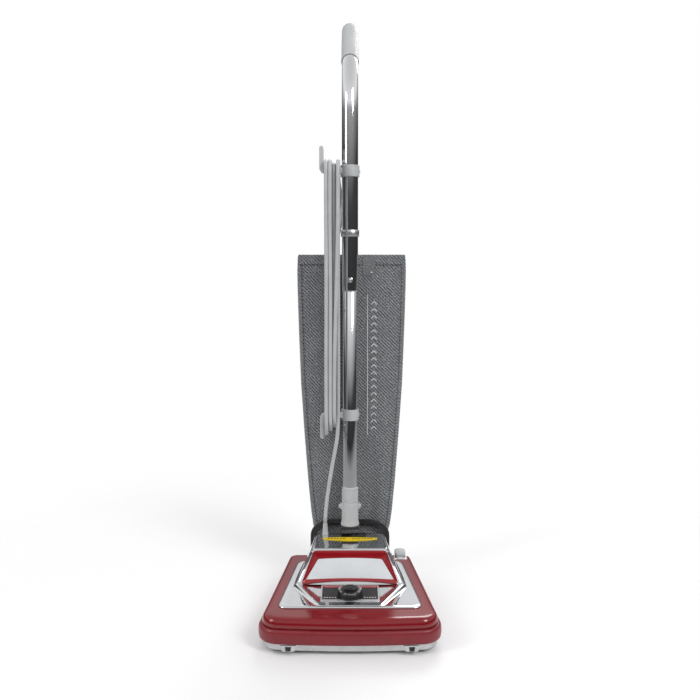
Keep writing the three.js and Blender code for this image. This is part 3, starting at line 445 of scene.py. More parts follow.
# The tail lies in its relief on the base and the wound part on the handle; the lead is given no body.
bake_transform(lead)

# ---- Base housing and its soft guard ----
# Rim, skirt, guard and plate all follow base_outline, each drawn in by its own inset.
# A gloss-moulded red body with a bulging rim, and a vinyl bumper pressed round its front and sides.
body_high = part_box("base_housing")[1]
guard_low, guard_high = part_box("furniture_guard")
WIDE = guard_high.x - guard_low.x
TAIL_WIDE = 0.291
LONG = body_high.y - FRONT
NOSE_ROUND = 0.042
TAIL_ROUND = 0.026
BOW = 0.006


def base_outline(inset, z, back=None):
    """One level of the base, drawn in from its widest line; back ends it there as an open path."""
    nose, tail = WIDE / 2 - NOSE_ROUND, TAIL_WIDE / 2 - TAIL_ROUND
    half = []
    for i in range(8):
        x = nose * i / 8
        half.append((x, inset + BOW * (x / nose) ** 2))
    for i in range(13):
        turn = pi / 2 * i / 12
        reach = NOSE_ROUND - inset
        half.append((nose + reach * sin(turn), NOSE_ROUND + BOW - reach * cos(turn)))
    side0, side1 = Vector((WIDE / 2 - inset, NOSE_ROUND + BOW)), Vector(
        (TAIL_WIDE / 2 - inset, LONG - TAIL_ROUND),
    )
    half += [tuple(side0.lerp(side1, i / 9)) for i in range(1, 9)]
    if back is not None:
        stop = side0.lerp(side1, (back - side0.y) / (side1.y - side0.y))
        half = [spot for spot in half if spot[1] < back - 0.002] + [tuple(stop)]
    else:
        for i in range(13):
            turn = pi / 2 * i / 12
            reach = TAIL_ROUND - inset
            half.append((tail + reach * cos(turn), LONG - TAIL_ROUND + reach * sin(turn)))
    whole = [(-x, y) for x, y in reversed(half[1:])] + half
    return [Vector((x, FRONT + y, z)) for x, y in whole]


def carved(thing, *shapes):
    """Cuts bmesh shapes out of a piece and keeps the result as its mesh."""
    for shape in shapes:
        cutter_mesh = bpy.data.meshes.new("cutter")
        shape.to_mesh(cutter_mesh)
        shape.free()
        cutter = bpy.data.objects.new("cutter", cutter_mesh)
        bpy.context.scene.collection.objects.link(cutter)
        cut = thing.modifiers.new("cut", "BOOLEAN")
        cut.operation = "DIFFERENCE"
        cut.solver = "EXACT"
        cut.object = cutter
        bpy.context.view_layer.update()
        solved = bpy.data.meshes.new_from_object(thing.evaluated_get(bpy.context.evaluated_depsgraph_get()))
        thing.modifiers.remove(cut)
        old = thing.data
        thing.data = solved
        bpy.data.meshes.remove(old)
        bpy.data.objects.remove(cutter)
        bpy.data.meshes.remove(cutter_mesh)
    for face in thing.data.polygons:
        face.use_smooth = True
    thing.data.set_sharp_from_angle(angle=radians(38))


def sliced(made, place, normal, **keep):
    """Cuts a bmesh along a plane."""
    parts = made.verts[:] + made.edges[:] + made.faces[:]
    bmesh.ops.bisect_plane(made, geom=parts, plane_co=place, plane_no=normal, **keep)


red_gloss = finish_of(
    "red_gloss", (0.20, 0.002, 0.006), (0.10, 0.20), patch=7, grain=260, relief=0.00001, dust=0.01, tone=0.06,
    Coat_Weight=0.25, Coat_Roughness=0.05,
)
red_vinyl = finish_of(
    "red_vinyl", (0.20, 0.010, 0.017), (0.26, 0.42), grain=1400, relief=0.00005, dust=0.05, tone=0.08,
)
# Inset and level of each line of the bulging rim, from the guard's top edge to the deck.
rim = [
    (0.0105, 0.0503), (0.0082, 0.0504), (0.0072, 0.0509), (0.0068, 0.0520), (0.0068, 0.0545),
    (0.0070, 0.0575),
    (0.0076, 0.0605), (0.0088, 0.0640), (0.0110, 0.0672), (0.0140, 0.0690), (0.0185, 0.0699),
    (0.0240, 0.0701),
]
deck = piece(
    "deck_shell", loft([base_outline(inset, z) for inset, z in rim]), red_gloss, "red_gloss", "base",
    "base_housing", sharp=50,
)
arm_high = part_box("handle_bail")[1]
pedal_low, pedal_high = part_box("release_pedal")
clamp_low, clamp_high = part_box("bag_clamp")
PORT = ((clamp_low.x + clamp_high.x) / 2, (clamp_low.y + clamp_high.y) / 2)
SLOT_FRONT = FRONT + 0.2888
DEEP, HIGH = 0.030, 0.090
slots = []
for side in (1, -1):
    xs = sorted((side * (arm_high.x + 0.0009), side * (arm_high.x - 0.0129)))
    slots.append(rounded_block((xs[0], SLOT_FRONT, DEEP), (xs[1], body_high.y + 0.01, HIGH), 0.001, 1))
slots.append(
    rounded_block(
        (pedal_low.x - 0.0014, FRONT + 0.2998, DEEP), (pedal_high.x + 0.0014, body_high.y + 0.01, HIGH),
        0.001, 1,
    )
)
port_hole = (clamp_high.x - clamp_low.x) / 2 + 0.0002
slots.append(turned([(0, DEEP), (port_hole, DEEP), (port_hole, HIGH), (0, HIGH)], at=(*PORT, 0)))
# The bristles turn in a trough under the deck.
TROUGH = 0.1468
slots.append(rounded_block((-TROUGH, FRONT + 0.0178, 0.040), (TROUGH, FRONT + 0.0735, 0.0590), 0.002, 2))
carved(deck, *slots)

# The skirt below the rim closes the body's sides down to the floor sheet behind the guard.
skirt_levels = [(0.0081, 0.0222), (0.0080, 0.0230), (0.0080, 0.0502)]
skirt = loft([base_outline(inset, z) for inset, z in skirt_levels], caps=(False, False))
sliced(skirt, (0, FRONT + 0.25, 0), (0, 1, 0), clear_inner=True)
skirt_shell = piece("skirt_shell", skirt, red_gloss, "red_gloss", "base")
# The bail's arms and the pedal leave the skirt open above SILL at the back.
SILL = 0.046
arm_gap = (arm_high.x - 0.0129, arm_high.x + 0.0009)
gaps = [arm_gap, (-arm_gap[1], -arm_gap[0]), (pedal_low.x - 0.0014, pedal_high.x + 0.0014)]
doomed = bmesh.new()
doomed.from_mesh(skirt_shell.data)
for gap in gaps:
    for x in gap:
        sliced(doomed, (x, 0, 0), (1, 0, 0))
sliced(doomed, (0, 0, SILL), (0, 0, 1))
gone = []
for face in doomed.faces:
    at = face.calc_center_median()
    if at.z > SILL and at.y > FRONT + 0.33 and any(low < at.x < high for low, high in gaps):
        gone.append(face)
bmesh.ops.delete(doomed, geom=gone, context="FACES")
doomed.to_mesh(skirt_shell.data)
doomed.free()

# The guard is one vinyl strip; its outer face is crowned and its edges are rolled in.
GUARD_END = guard_high.y - FRONT
guard_section = [
    (-0.0077, 0.0222), (-0.0042, 0.0221), (-0.0017, 0.0227), (-0.0004, 0.0243), (0.0002, 0.0275),
    (0.0005, 0.0325), (0.0005, 0.0385), (0.0001, 0.0438), (-0.0008, 0.0472), (-0.0026, 0.0494),
    (-0.0048, 0.0500), (-0.0077, 0.0499),
]


def swept(section, inset, back):
    """Carries an outward section of (out, level) round the front of the base as far as back."""
    path = base_outline(inset, 0, back)
    rings = []
    for i, spot in enumerate(path):
        ahead = path[min(i + 1, len(path) - 1)] - path[max(i - 1, 0)]
        out = Vector((ahead.y, -ahead.x, 0)).normalized()
        rings.append([spot + out * u + Vector((0, 0, level)) for u, level in section])
    return loft(rings)


piece(
    "vinyl_guard", swept(guard_section, 0.0002, GUARD_END), red_vinyl, "red_vinyl", "base", "furniture_guard",
    sharp=60,
)

# ---- Bottom plate and its latches: bright pressed steel under the nose ----
# Its rim shows all round under the guard. Two flip latches hold it on; the hole in each is a flat black patch,
# painted shade.
steel = finish_of(
    "zinc_steel", (0.60, 0.61, 0.62), (0.22, 0.42), patch=14, grain=1800, relief=0.00003, dust=0.1, tone=0.1,
    Metallic=1.0,
)
tray_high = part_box("bottom_plate")[1]
tray_section = [
    (-0.0020, 0.0080), (-0.0006, 0.0081), (0.0004, 0.0092), (0.0006, 0.0104), (0.0006, 0.0196),
    (0.0012, 0.0206),
    (0.0012, 0.0216), (-0.0020, 0.0216),
]
piece("tray_rim", swept(tray_section, 0.0083, tray_high.y - FRONT), steel, "steel", "base", sharp=35)
# Near-black for the latch holes: painted shade on a flat patch, not a cut hole.
painted_hole_shade = finish_of("painted_hole_shade", (0.012, 0.012, 0.013), (0.5, 0.7), dust=0.0)


def rounded(corners, cuts, steps=6):
    """A flat outline with each corner softened over its own cut-back distance."""
    points = []
    for i, corner in enumerate(corners):
        here = Vector(corner)
        before = (Vector(corners[i - 1]) - here).normalized()
        after = (Vector(corners[(i + 1) % len(corners)]) - here).normalized()
        start, end = here + before * cuts[i], here + after * cuts[i]
        for k in range(steps + 1):
            t = k / steps
            points.append(start * (1 - t) ** 2 + here * 2 * t * (1 - t) + end * t * t)
    return points


def box_outline(x0, y0, x1, y1, cuts, steps=6):
    """A flat box between two corners, softened like rounded()."""
    return rounded([(x0, y0), (x1, y0), (x1, y1), (x0, y1)], cuts, steps)


for side, name in ((1, "plate_latch_right"), (-1, "plate_latch_left")):
    low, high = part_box(name)
    middle = (low.x + high.x) / 2
    tab = rounded(
        [
            (middle - 0.012, low.z), (middle + 0.012, low.z), (middle + 0.016, high.z),
            (middle - 0.016, high.z),
        ],
        [0.003, 0.003, 0.0012, 0.0012],
    )
    rings = []
    for shrink, y in ((0.0, high.y), (0.0, low.y + 0.0006), (0.0005, low.y)):
        rings.append([
            Vector((middle + (x - middle) * (1 - shrink / 0.014), y, z + (0.0155 - z) * shrink / 0.006))
            for x, z in tab
        ])
    plate = loft(rings)
    hole_patch = rounded(
        [
            (middle - 0.0045, 0.0105), (middle + 0.0045, 0.0105), (middle + 0.0060, 0.0195),
            (middle - 0.0060, 0.0195),
        ],
        [0.001] * 4,
    )
    piece(name + "_tab", plate, steel, "steel", name, name, sharp=30)
    # The hole is not cut: a thin black patch on the tab's face is painted shade in its place.
    hole_patch_rings = [[Vector((x, y, z)) for x, z in hole_patch] for y in (low.y + 0.0006, low.y - 0.00005)]
    piece(name + "_hole_shade", loft(hole_patch_rings), painted_hole_shade, "black_plastic", name, sharp=30)

# ---- Motor hood: a deep-drawn steel dome and a low apron on a lipped flange, all plated ----
# Every level of the dome comes from dome_ring; the dome stands on the same flange as the apron.
def plated(name, colour, rough, tint):
    """Polished plating: almost clean, with fine polishing marks and faint smudges."""
    return finish_of(
        name, colour, rough, patch=11, grain=340, relief=0.000004, dust=0.02, tone=tint, Metallic=1.0,
    )


chrome = plated("chrome", (0.80, 0.81, 0.82), (0.03, 0.11), 0.03)
hood_low, hood_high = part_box("motor_hood")
FOOT = hood_low.z
FLANGE = FOOT + 0.004
ROOF = hood_high.z
APRON = (0.061, FOOT + 0.005)
BROW = (0.141, FOOT + 0.0117)
SHOULDER = 0.006
SLOPE_TOP = (0.176 + SHOULDER * (0.2 - cos(pi / 6)), ROOF - SHOULDER / 2)


def between(z, low, high):
    return low[1] + (high[1] - low[1]) * (z - low[0]) / (high[0] - low[0])


def dome_ring(z, inset=0.0, level=None):
    """The dome's outline at height z, drawn in by inset."""
    level = z if level is None else level
    share = min(max((z - FOOT) / (ROOF - FOOT), 0), 1)
    front = BROW[0] - 0.001 if z < BROW[1] else between(z, (BROW[1], BROW[0]), (SLOPE_TOP[1], SLOPE_TOP[0]))
    wide = between(
        z, (FOOT, 0.1155), (BROW[1], 0.1105),
    ) if z < BROW[1] else between(z, (BROW[1], 0.1105), (ROOF, 0.080))
    middle = 0.1125 - 0.0345 * share
    tail = 0.099 - 0.025 * share
    rear = 0.284 - 0.022 * share
    corners = [
        (-wide + inset, front + inset), (wide - inset, front + inset), (middle - inset, 0.193),
        (tail - inset, rear - inset), (inset - tail, rear - inset), (inset - middle, 0.193),
    ]
    soft = max(0.008 - inset * 0.4, 0.002)
    outline = rounded(corners, [soft, soft, 0.04, 0.018, 0.018, 0.04])
    return [Vector((x, FRONT + y, level)) for x, y in outline]


dome_rings = [dome_ring(FLANGE, -0.0032, FLANGE - 0.0002), dome_ring(FLANGE, -0.0012, FLANGE + 0.0005)]
dome_rings += [dome_ring(FLANGE + 0.0024, -0.0002), dome_ring(BROW[1] - 0.0002), dome_ring(BROW[1] + 0.0004)]
dome_rings += [dome_ring(z) for z in (0.092, 0.102, 0.112, 0.122, 0.132)]
for i in range(9):
    turn = pi / 2 * i / 8
    low_line = ROOF - SHOULDER
    drawn_in = SHOULDER * (1 - cos(turn))
    dome_rings.append(
        dome_ring(low_line + SHOULDER * 0.25 * sin(turn), drawn_in, low_line + SHOULDER * sin(turn)),
    )
dome = loft(dome_rings, caps=(False, True))

# The apron is a low wedge that carries the height setting; its sides run out into the flange.
apron_rings = []
for grow, share in (
    (0.0070, -0.03), (0.0046, 0.03), (0.0034, 0.12), (0.0026, 0.30), (0.0019, 0.52), (0.0012, 0.74),
    (0.0004, 0.88),
    (-0.0008, 0.955), (-0.0022, 0.99), (-0.0040, 1.0),
):
    outline = [(-0.060 - grow, APRON[0] - grow * 0.35), (0.060 + grow, APRON[0] - grow * 0.35)]
    outline += [(0.1115 + grow, BROW[0] + 0.006), (-0.1115 - grow, BROW[0] + 0.006)]
    ring = []
    for x, y in rounded(outline, [0.006, 0.006, 0.002, 0.002]):
        crest = between(y, APRON, BROW)
        ring.append(Vector((x, FRONT + y, FLANGE + (crest - FLANGE) * share)))
    apron_rings.append(ring)
apron = loft(apron_rings, caps=(False, True))
flange_corners = [
    (hood_low.x, 0.057), (hood_high.x, 0.057), (0.115, hood_high.y - FRONT), (-0.115, hood_high.y - FRONT),
]
flange_rings = []
for inset, z in (
    (0.0008, FOOT - 0.0001), (0.0002, FOOT + 0.0002), (0.0, FOOT + 0.0007), (0.0002, FOOT + 0.0016),
    (0.0009, FOOT + 0.0026), (0.0020, FOOT + 0.0034), (0.0034, FOOT + 0.0039), (0.0052, FOOT + 0.0041),
    (0.0075, FOOT + 0.0040),
):
    drawn = [(x * (1 - inset / 0.13), y + (inset if y < 0.1 else -inset)) for x, y in flange_corners]
    flange_rings.append([Vector((x, FRONT + y, z)) for x, y in rounded(drawn, [0.022] * 4, 9)])
hood = together(dome, apron, loft(flange_rings))
piece("hood_shell", hood, chrome, "chrome", "base", "motor_hood", sharp=50)

# ---- Headlight: a deep red frame with a broad brow, ribbed sides and a bowed foot, round a fluted lens ----
# It is drawn flat and carried onto the dome's sloping front by ON_LENS.
lens_mid = Vector((0, FRONT + (BROW[0] + SLOPE_TOP[0]) / 2, (BROW[1] + SLOPE_TOP[1]) / 2))
ON_LENS = Matrix.Translation(lens_mid) @ Matrix.Rotation(
    atan2(SLOPE_TOP[1] - BROW[1], SLOPE_TOP[0] - BROW[0]), 4, "X",
)
LENS_LONG = 0.066
LENS_FOOT_WIDE = 0.199
LENS_TOP_WIDE = 0.150
SIDE_BAND, FOOT_BAND, BROW_BAND = 0.0085, 0.0080, 0.0180


def bowed(x, y, share):
    """Lifts a point of the lens front towards the middle; share is 0 on the outer edge and 1 on the inner."""
    along = y / LENS_LONG + 0.5
    half = LENS_FOOT_WIDE / 2 * (1 - along) + LENS_TOP_WIDE / 2 * along
    lift = (0.0055 - 0.0022 * share) * (1 - along) + (0.0004 + 0.0030 * share) * along
    return y + lift * (1 - (x / half) ** 2)


def lens_outline(share, level, cut=0.006):
    foot = LENS_FOOT_WIDE / 2 - SIDE_BAND * 1.1 * share
    top = LENS_TOP_WIDE / 2 - SIDE_BAND * 1.1 * share
    low, high = -LENS_LONG / 2 + FOOT_BAND * share, LENS_LONG / 2 - BROW_BAND * share
    side = [Vector((foot, low)).lerp(Vector((top, high)), t) for t in (0.0, 1.0)]
    corners = [(-side[0].x, low), (side[0].x, low), (side[1].x, high), (-side[1].x, high)]
    arcs = rounded(corners, [cut * (1 - 0.5 * share)] * 4, 5)
    outline = []
    for i in range(4):
        arc = arcs[i * 6:i * 6 + 6]
        outline += arc
        start, end = arc[-1], arcs[(i * 6 + 6) % 24]
        outline += [start.lerp(end, k / 12) for k in range(1, 12)]
    return [Vector((x, bowed(x, y, share), level)) for x, y in outline]


frame_rings = [
    lens_outline(share, level)
    for share, level in (
        (-0.02, 0.0002), (-0.02, 0.0020), (0.02, 0.0029), (0.09, 0.0033), (0.17, 0.0029), (0.24, 0.0023),
        (0.90, 0.0013), (0.97, 0.0010), (1.0, 0.0004), (1.0, -0.0010),
    )
]
lens_red = finish_of(
    "lens_frame_red", (0.30, 0.004, 0.010), (0.12, 0.26), grain=500, relief=0.00001, dust=0.02, tone=0.10,
    Coat_Weight=0.7, Coat_Roughness=0.08,
)
piece(
    "lens_surround", loft(frame_rings, caps=(False, False), joined=True), lens_red, "red_gloss", "base",
    "lens_frame", sharp=50, place=ON_LENS,
)
ribs = bmesh.new()
for side in (1, -1):
    for i in range(26):
        along = -LENS_LONG / 2 + 0.0085 + i * (LENS_LONG - 0.0215) / 25
        half = (LENS_FOOT_WIDE - (LENS_FOOT_WIDE - LENS_TOP_WIDE) * (along / LENS_LONG + 0.5)) / 2
        spot = Matrix.Translation((side * (half - SIDE_BAND * 0.60), along, 0.0021))
        turn = Matrix.Rotation(side * radians(-35), 4, "Z")
        size = Matrix.Diagonal((0.0054, 0.0008, 0.0008, 1))
        bmesh.ops.create_cube(ribs, size=1, matrix=spot @ turn @ size)
bmesh.ops.bevel(
    ribs, geom=ribs.edges[:], offset=0.00018, affect="EDGES", segments=1, profile=0.5, material=-1,
)
piece("lens_surround_ribs", ribs, lens_red, "red_gloss", "base", place=ON_LENS)
lens_pale = finish_of(
    "frosted_lens", (0.70, 0.73, 0.75), (0.16, 0.30), grain=1200, relief=0.00001, dust=0.02, tone=0.03,
    Coat_Weight=0.3,
)
panel = bmesh.new()
bmesh.ops.create_grid(panel, x_segments=176, y_segments=12, size=0.5)
for vert in panel.verts:
    across, along = vert.co.x * 2, vert.co.y * 2
    share = (along + 1) / 2
    wide = LENS_FOOT_WIDE / 2 * (1 - share) + LENS_TOP_WIDE / 2 * share - SIDE_BAND * 1.1 + 0.0008
    y = (-LENS_LONG / 2 + FOOT_BAND - 0.0008) * (1 - share) + (LENS_LONG / 2 - BROW_BAND + 0.0008) * share
    flute = 0.00012 * cos(across * 44 * pi)
    crown = 0.0010 * (1 - across * across) * (1 - along * along)
    vert.co = (across * wide, bowed(across * wide, y, 1.0), 0.0003 + flute + crown)
piece("lens_panel", panel, lens_pale, "lens_frosted", "base", "headlight_lens", place=ON_LENS)

# ---- Height setting: a printed plate and a fluted black knob standing up from the apron ----
# All of it is drawn flat round the middle of the plate and carried onto the apron by ON_PLATE.
plate_mid = Vector((0, FRONT + (APRON[0] + BROW[0]) / 2, (APRON[1] + BROW[1]) / 2))
ON_PLATE = Matrix.Translation(plate_mid) @ Matrix.Rotation(
    atan2(BROW[1] - APRON[1], BROW[0] - APRON[0]), 4, "X",
)
PLATE_WIDE = 0.1165
PLATE_LONG = 0.061
PLATE_Y = 0.005
KNOB_Y = -0.004
print_black = finish_of("print_black", (0.013, 0.013, 0.015), (0.24, 0.40), grain=900, dust=0.03)
trim_pale = finish_of("trim_pale", (0.66, 0.66, 0.67), (0.2, 0.36), grain=900, dust=0.02, Metallic=0.6)
print_white = finish_of("print_white", (0.76, 0.76, 0.74), (0.4, 0.55), dust=0.02)
print_red = finish_of("print_red", (0.36, 0.010, 0.018), (0.3, 0.45), dust=0.02)


def flat_plate(wide, long, at, low, high, cut=0.0015):
    """A thin plate with soft corners and a bevelled top."""
    half, up = wide / 2, long / 2
    x, y = at
    outline = box_outline(x - half, y - up, x + half, y + up, [cut] * 4, 4)
    spread = [(1.0, low), (1.0, high - 0.0002), (1 - 0.0003 / wide, high)]
    return loft(
        [[Vector((x + (p - x) * s, y + (q - y) * s, level)) for p, q in outline] for s, level in spread],
    )


piece(
    "setting_trim", flat_plate(PLATE_WIDE, PLATE_LONG, (0, PLATE_Y), 0.0001, 0.0017, 0.004), trim_pale,
    "black_plastic", "base", "height_plate", place=ON_PLATE, sharp=30,
)
piece(
    "setting_face",
    flat_plate(PLATE_WIDE - 0.0055, PLATE_LONG - 0.008, (0, PLATE_Y + 0.001), 0.0012, 0.0020, 0.003),
    print_black, "black_plastic", "base", place=ON_PLATE, sharp=30,
)
STRIPE_Y = PLATE_Y + 0.0225
piece(
    "setting_stripe", flat_plate(PLATE_WIDE - 0.0055, 0.0080, (0, STRIPE_Y + 0.0005), 0.0014, 0.00225, 0.003),
    print_red,
    "red_gloss", "base", place=ON_PLATE, sharp=30,
)
marks = []
for i in range(27):
    x = (i - 13) * 0.0039
    if abs(x) > 0.021:
        marks.append(flat_plate(0.0011, 0.0030 + 0.0014 * (i % 2), (x, STRIPE_Y), 0.0019, 0.0024, 0.0002))
for side in (1, -1):
    for i in range(5):
        marks.append(
            flat_plate(
                0.0022, 0.0032, (side * (0.029 + i * 0.0053), PLATE_Y - 0.0190), 0.0017, 0.0022, 0.0008,
            ),
        )
piece("setting_marks", together(*marks), print_white, "black_plastic", "base", place=ON_PLATE)

knob_black = finish_of(
    "knob_black", (0.012, 0.012, 0.014), (0.2, 0.36), grain=1600, relief=0.00002, dust=0.03,
)
knob_rings = []
for radius, level, flute in (
    (0.0236, 0.0029, 0.0), (0.0249, 0.0031, 0.0), (0.0250, 0.0044, 0.0), (0.0246, 0.0054, 0.0),
    (0.0243, 0.0062, 0.0008), (0.0241, 0.0096, 0.0009), (0.0236, 0.0116, 0.0006), (0.0228, 0.0129, 0.0),
    (0.0216, 0.0137, 0.0), (0.0160, 0.0148, 0.0), (0.0152, 0.0150, 0.0), (0.0146, 0.0146, 0.0),
    (0.0140, 0.0141, 0.0),
):
    ring = []
    for i in range(144):
        angle = tau * i / 144
        reach = radius - flute * (0.5 - 0.5 * cos(36 * angle)) ** 2
        ring.append(Vector((reach * cos(angle), KNOB_Y + reach * sin(angle), level)))
    knob_rings.append(ring)
piece(
    "knob_grip", loft(knob_rings), knob_black, "black_plastic", "height_knob", "height_knob", place=ON_PLATE,
    sharp=60,
)
pointer_rings = []
for wide, long, level in (
    (0.0130, 0.0060, 0.0139), (0.0128, 0.0058, 0.0162), (0.0120, 0.0050, 0.0174), (0.0100, 0.0034, 0.0178),
):
    pointer_rings.append([
        Vector((wide * cos(tau * i / 40), KNOB_Y + long * sin(tau * i / 40), level)) for i in range(40)
    ])
piece("knob_bar", loft(pointer_rings), knob_black, "black_plastic", "height_knob", place=ON_PLATE, sharp=60)
dial_marks = []
for i in range(36):
    if i % 9 in (4, 5):
        continue
    long = 0.0030 if i % 3 == 0 else 0.0018
    tick = rounded_block(
        (-0.00045, 0.0200 - long / 2, 0.0136), (0.00045, 0.0200 + long / 2, 0.0144), 0.0001, 1,
    )
    bmesh.ops.rotate(tick, verts=tick.verts, cent=(0, 0, 0), matrix=Matrix.Rotation(tau * i / 36, 3, "Z"))
    bmesh.ops.translate(tick, verts=tick.verts, vec=(0, KNOB_Y, 0))
    dial_marks.append(tick)
for side in (1, -1):
    arc = [
        [
            Vector((side * r * cos(a), KNOB_Y + r * sin(a), z))
            for r, z in ((0.0218, 0.0136), (0.0236, 0.0126), (0.0238, 0.0121), (0.0216, 0.0132))
        ]
        for a in (radians(8 + 5 * k) for k in range(6))
    ]
    dial_marks.append(loft(arc))
piece("knob_marks", together(*dial_marks), print_white, "black_plastic", "height_knob", place=ON_PLATE)

# ---- Top of the hood: yellow strip with plain bars, and the rounded foot rocker in its bezel ----
# The bars are plain marks, not lettering. The rocker moves in its bezel, which stays on the hood.
strip_low, strip_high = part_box("hood_label_strip")
strip_yellow = finish_of("strip_yellow", (0.80, 0.56, 0.012), (0.3, 0.45), dust=0.02, tone=0.05)
bow_front = [
    (strip_high.x * (i / 12), FRONT + 0.2235 - 0.0095 * (1 - (i / 12) ** 2)) for i in range(-12, 13)
]
bow_rear = [
    (strip_high.x * (i / 12), FRONT + 0.2300 + 0.0038 * (1 - (i / 12) ** 2)) for i in range(12, -13, -1)
]
strip_rings = [
    [Vector((x * s, y, z)) for x, y in bow_front + bow_rear]
    for s, z in ((1.0, strip_low.z), (1.0, strip_high.z - 0.0002), (0.998, strip_high.z))
]
piece("yellow_strip", loft(strip_rings), strip_yellow, "label_yellow", "base", "hood_label_strip", sharp=30)
bars = []
for i in range(15):
    x = -0.0455 + 0.0065 * i
    if abs(x + 0.001) > 0.006:
        bars.append(rounded_block(
            (x - 0.0019, FRONT + 0.2245, strip_high.z - 0.0003),
            (x + 0.0019, FRONT + 0.2285, strip_high.z + 0.0001),
            0.0001, 1,
        ))
piece("strip_bars", together(*bars), print_black, "label_yellow", "base")
rocker_low, rocker_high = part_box("foot_switch")
size = rocker_high - rocker_low
ROCK_MID = (rocker_low.y + rocker_high.y) / 2
rocker_rings = []
for i in range(17):
    share = i / 16
    x = rocker_low.x + size.x * share
    round_end = sqrt(max(1 - (2 * share - 1) ** 6, 0.0))
    ring = []
    for y, z in rounded(
        [(-0.5, 0.0), (0.5, 0.0), (0.5, 0.80), (0.18, 0.92), (-0.18, 0.92), (-0.5, 1.0)],
        [0.02, 0.02, 0.14, 0.1, 0.1, 0.12], 4,
    ):
        tall = z if z < 0.3 else 0.3 + (z - 0.3) * (0.55 + 0.45 * round_end)
        ring.append(
            Vector((x, ROCK_MID + y * size.y * (0.9 + 0.1 * round_end), rocker_low.z + tall * size.z)),
        )
    rocker_rings.append(ring)
treads = [loft(rocker_rings)]
for i in range(4):
    y = rocker_low.y + 0.0026 + i * 0.0014
    treads.append(rounded_block(
        (rocker_low.x + 0.004, y, rocker_high.z - 0.0024),
        (rocker_high.x - 0.004, y + 0.0007, rocker_high.z - 0.0002 - i * 0.0002), 0.0002, 1,
    ))
piece("rocker", together(*treads), knob_black, "black_plastic", "foot_switch", "foot_switch", sharp=45)
bezel_rings = []
for grow, z in (
    (0.0024, ROOF + 0.0001), (0.0024, ROOF + 0.0009), (0.0017, ROOF + 0.0013), (0.0009, ROOF + 0.0013),
    (0.0006, ROOF + 0.0001),
):
    outline = box_outline(
        rocker_low.x - grow, rocker_low.y - grow, rocker_high.x + grow, rocker_high.y + grow, [0.0022] * 4,
    )
    bezel_rings.append([Vector((x, y, z)) for x, y in outline])
piece(
    "rocker_bezel", loft(bezel_rings, caps=(False, False), joined=True), print_black, "black_plastic", "base",
    sharp=30,
)

# ---- Handle bail: a flat steel arch on two pins, with a tongue that carries the tube ----
# Its arms end in eyes round the pins, and all of it is drawn upright and leaned back.
TUBE_Y = -0.0407


def curve2(start, pull, end, steps=8):
    a, b, c = Vector(start), Vector(pull), Vector(end)
    return [a * (1 - t) ** 2 + b * 2 * t * (1 - t) + c * t * t for t in (i / steps for i in range(steps + 1))]


outer = [Vector((0.088, 0.004))] + curve2((0.088, 0.062), (0.088, 0.092), (0.046, 0.100))
inner = [Vector((0.076, 0.004))] + curve2((0.076, 0.058), (0.076, 0.080), (0.040, 0.086))
arch_rings = []
halves = [(o, i) for o, i in zip(outer, inner)]
stations = halves + [(Vector((-o.x, o.y)), Vector((-i.x, i.y))) for o, i in reversed(halves)]
for out, inn in stations:
    across = (out - inn).normalized() * 0.0009
    section = [
        (inn, -0.0016), (inn + across, -0.0025), (out - across, -0.0025), (out, -0.0016),
        (out, 0.0016), (out - across, 0.0025), (inn + across, 0.0025), (inn, 0.0016),
    ]
    arch_rings.append([Vector((spot.x, y, spot.y)) for spot, y in section])
shapes = [loft(arch_rings)]
for side in (1, -1):
    eye_profile = [
        (0.0056, side * 0.0762), (0.0086, side * 0.0762), (0.0094, side * 0.0770), (0.0094, side * 0.0872),
        (0.0086, side * 0.0880), (0.0056, side * 0.0880), (0.0056, side * 0.0762),
    ]
    shapes.append(turned(eye_profile, "X", steps=36))
shapes.append(rounded_block((-0.019, TUBE_Y - 0.020, 0.0942), (0.019, 0.0024, 0.1000), 0.0012, 2))
black_steel = finish_of(
    "black_steel", (0.020, 0.020, 0.022), (0.28, 0.46), patch=18, grain=900, relief=0.00003, dust=0.08,
    tone=0.2,
    Coat_Weight=0.3,
)
on_handle("bail_arch", together(*shapes), black_steel, "black_steel", "handle_bail", sharp=35)
for side, name in ((1, "bail_pin_right"), (-1, "bail_pin_left")):
    low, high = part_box(name)
    ends = (low.x, high.x) if side > 0 else (high.x, low.x)
    pin_profile = [
        (0, ends[0]), (0.0044, ends[0]), (0.0050, ends[0] + side * 0.0006), (0.0050, ends[1] - side * 0.0009),
        (0.0042, ends[1] - side * 0.0002), (0.0020, ends[1] - side * 0.0002),
        (0.0014, ends[1] - side * 0.0010),
        (0, ends[1] - side * 0.0010),
    ]
    at = (0, (low.y + high.y) / 2, (low.z + high.z) / 2)
    piece(name + "_turned", turned(pin_profile, "X", at), steel, "steel", "base", name, sharp=35)

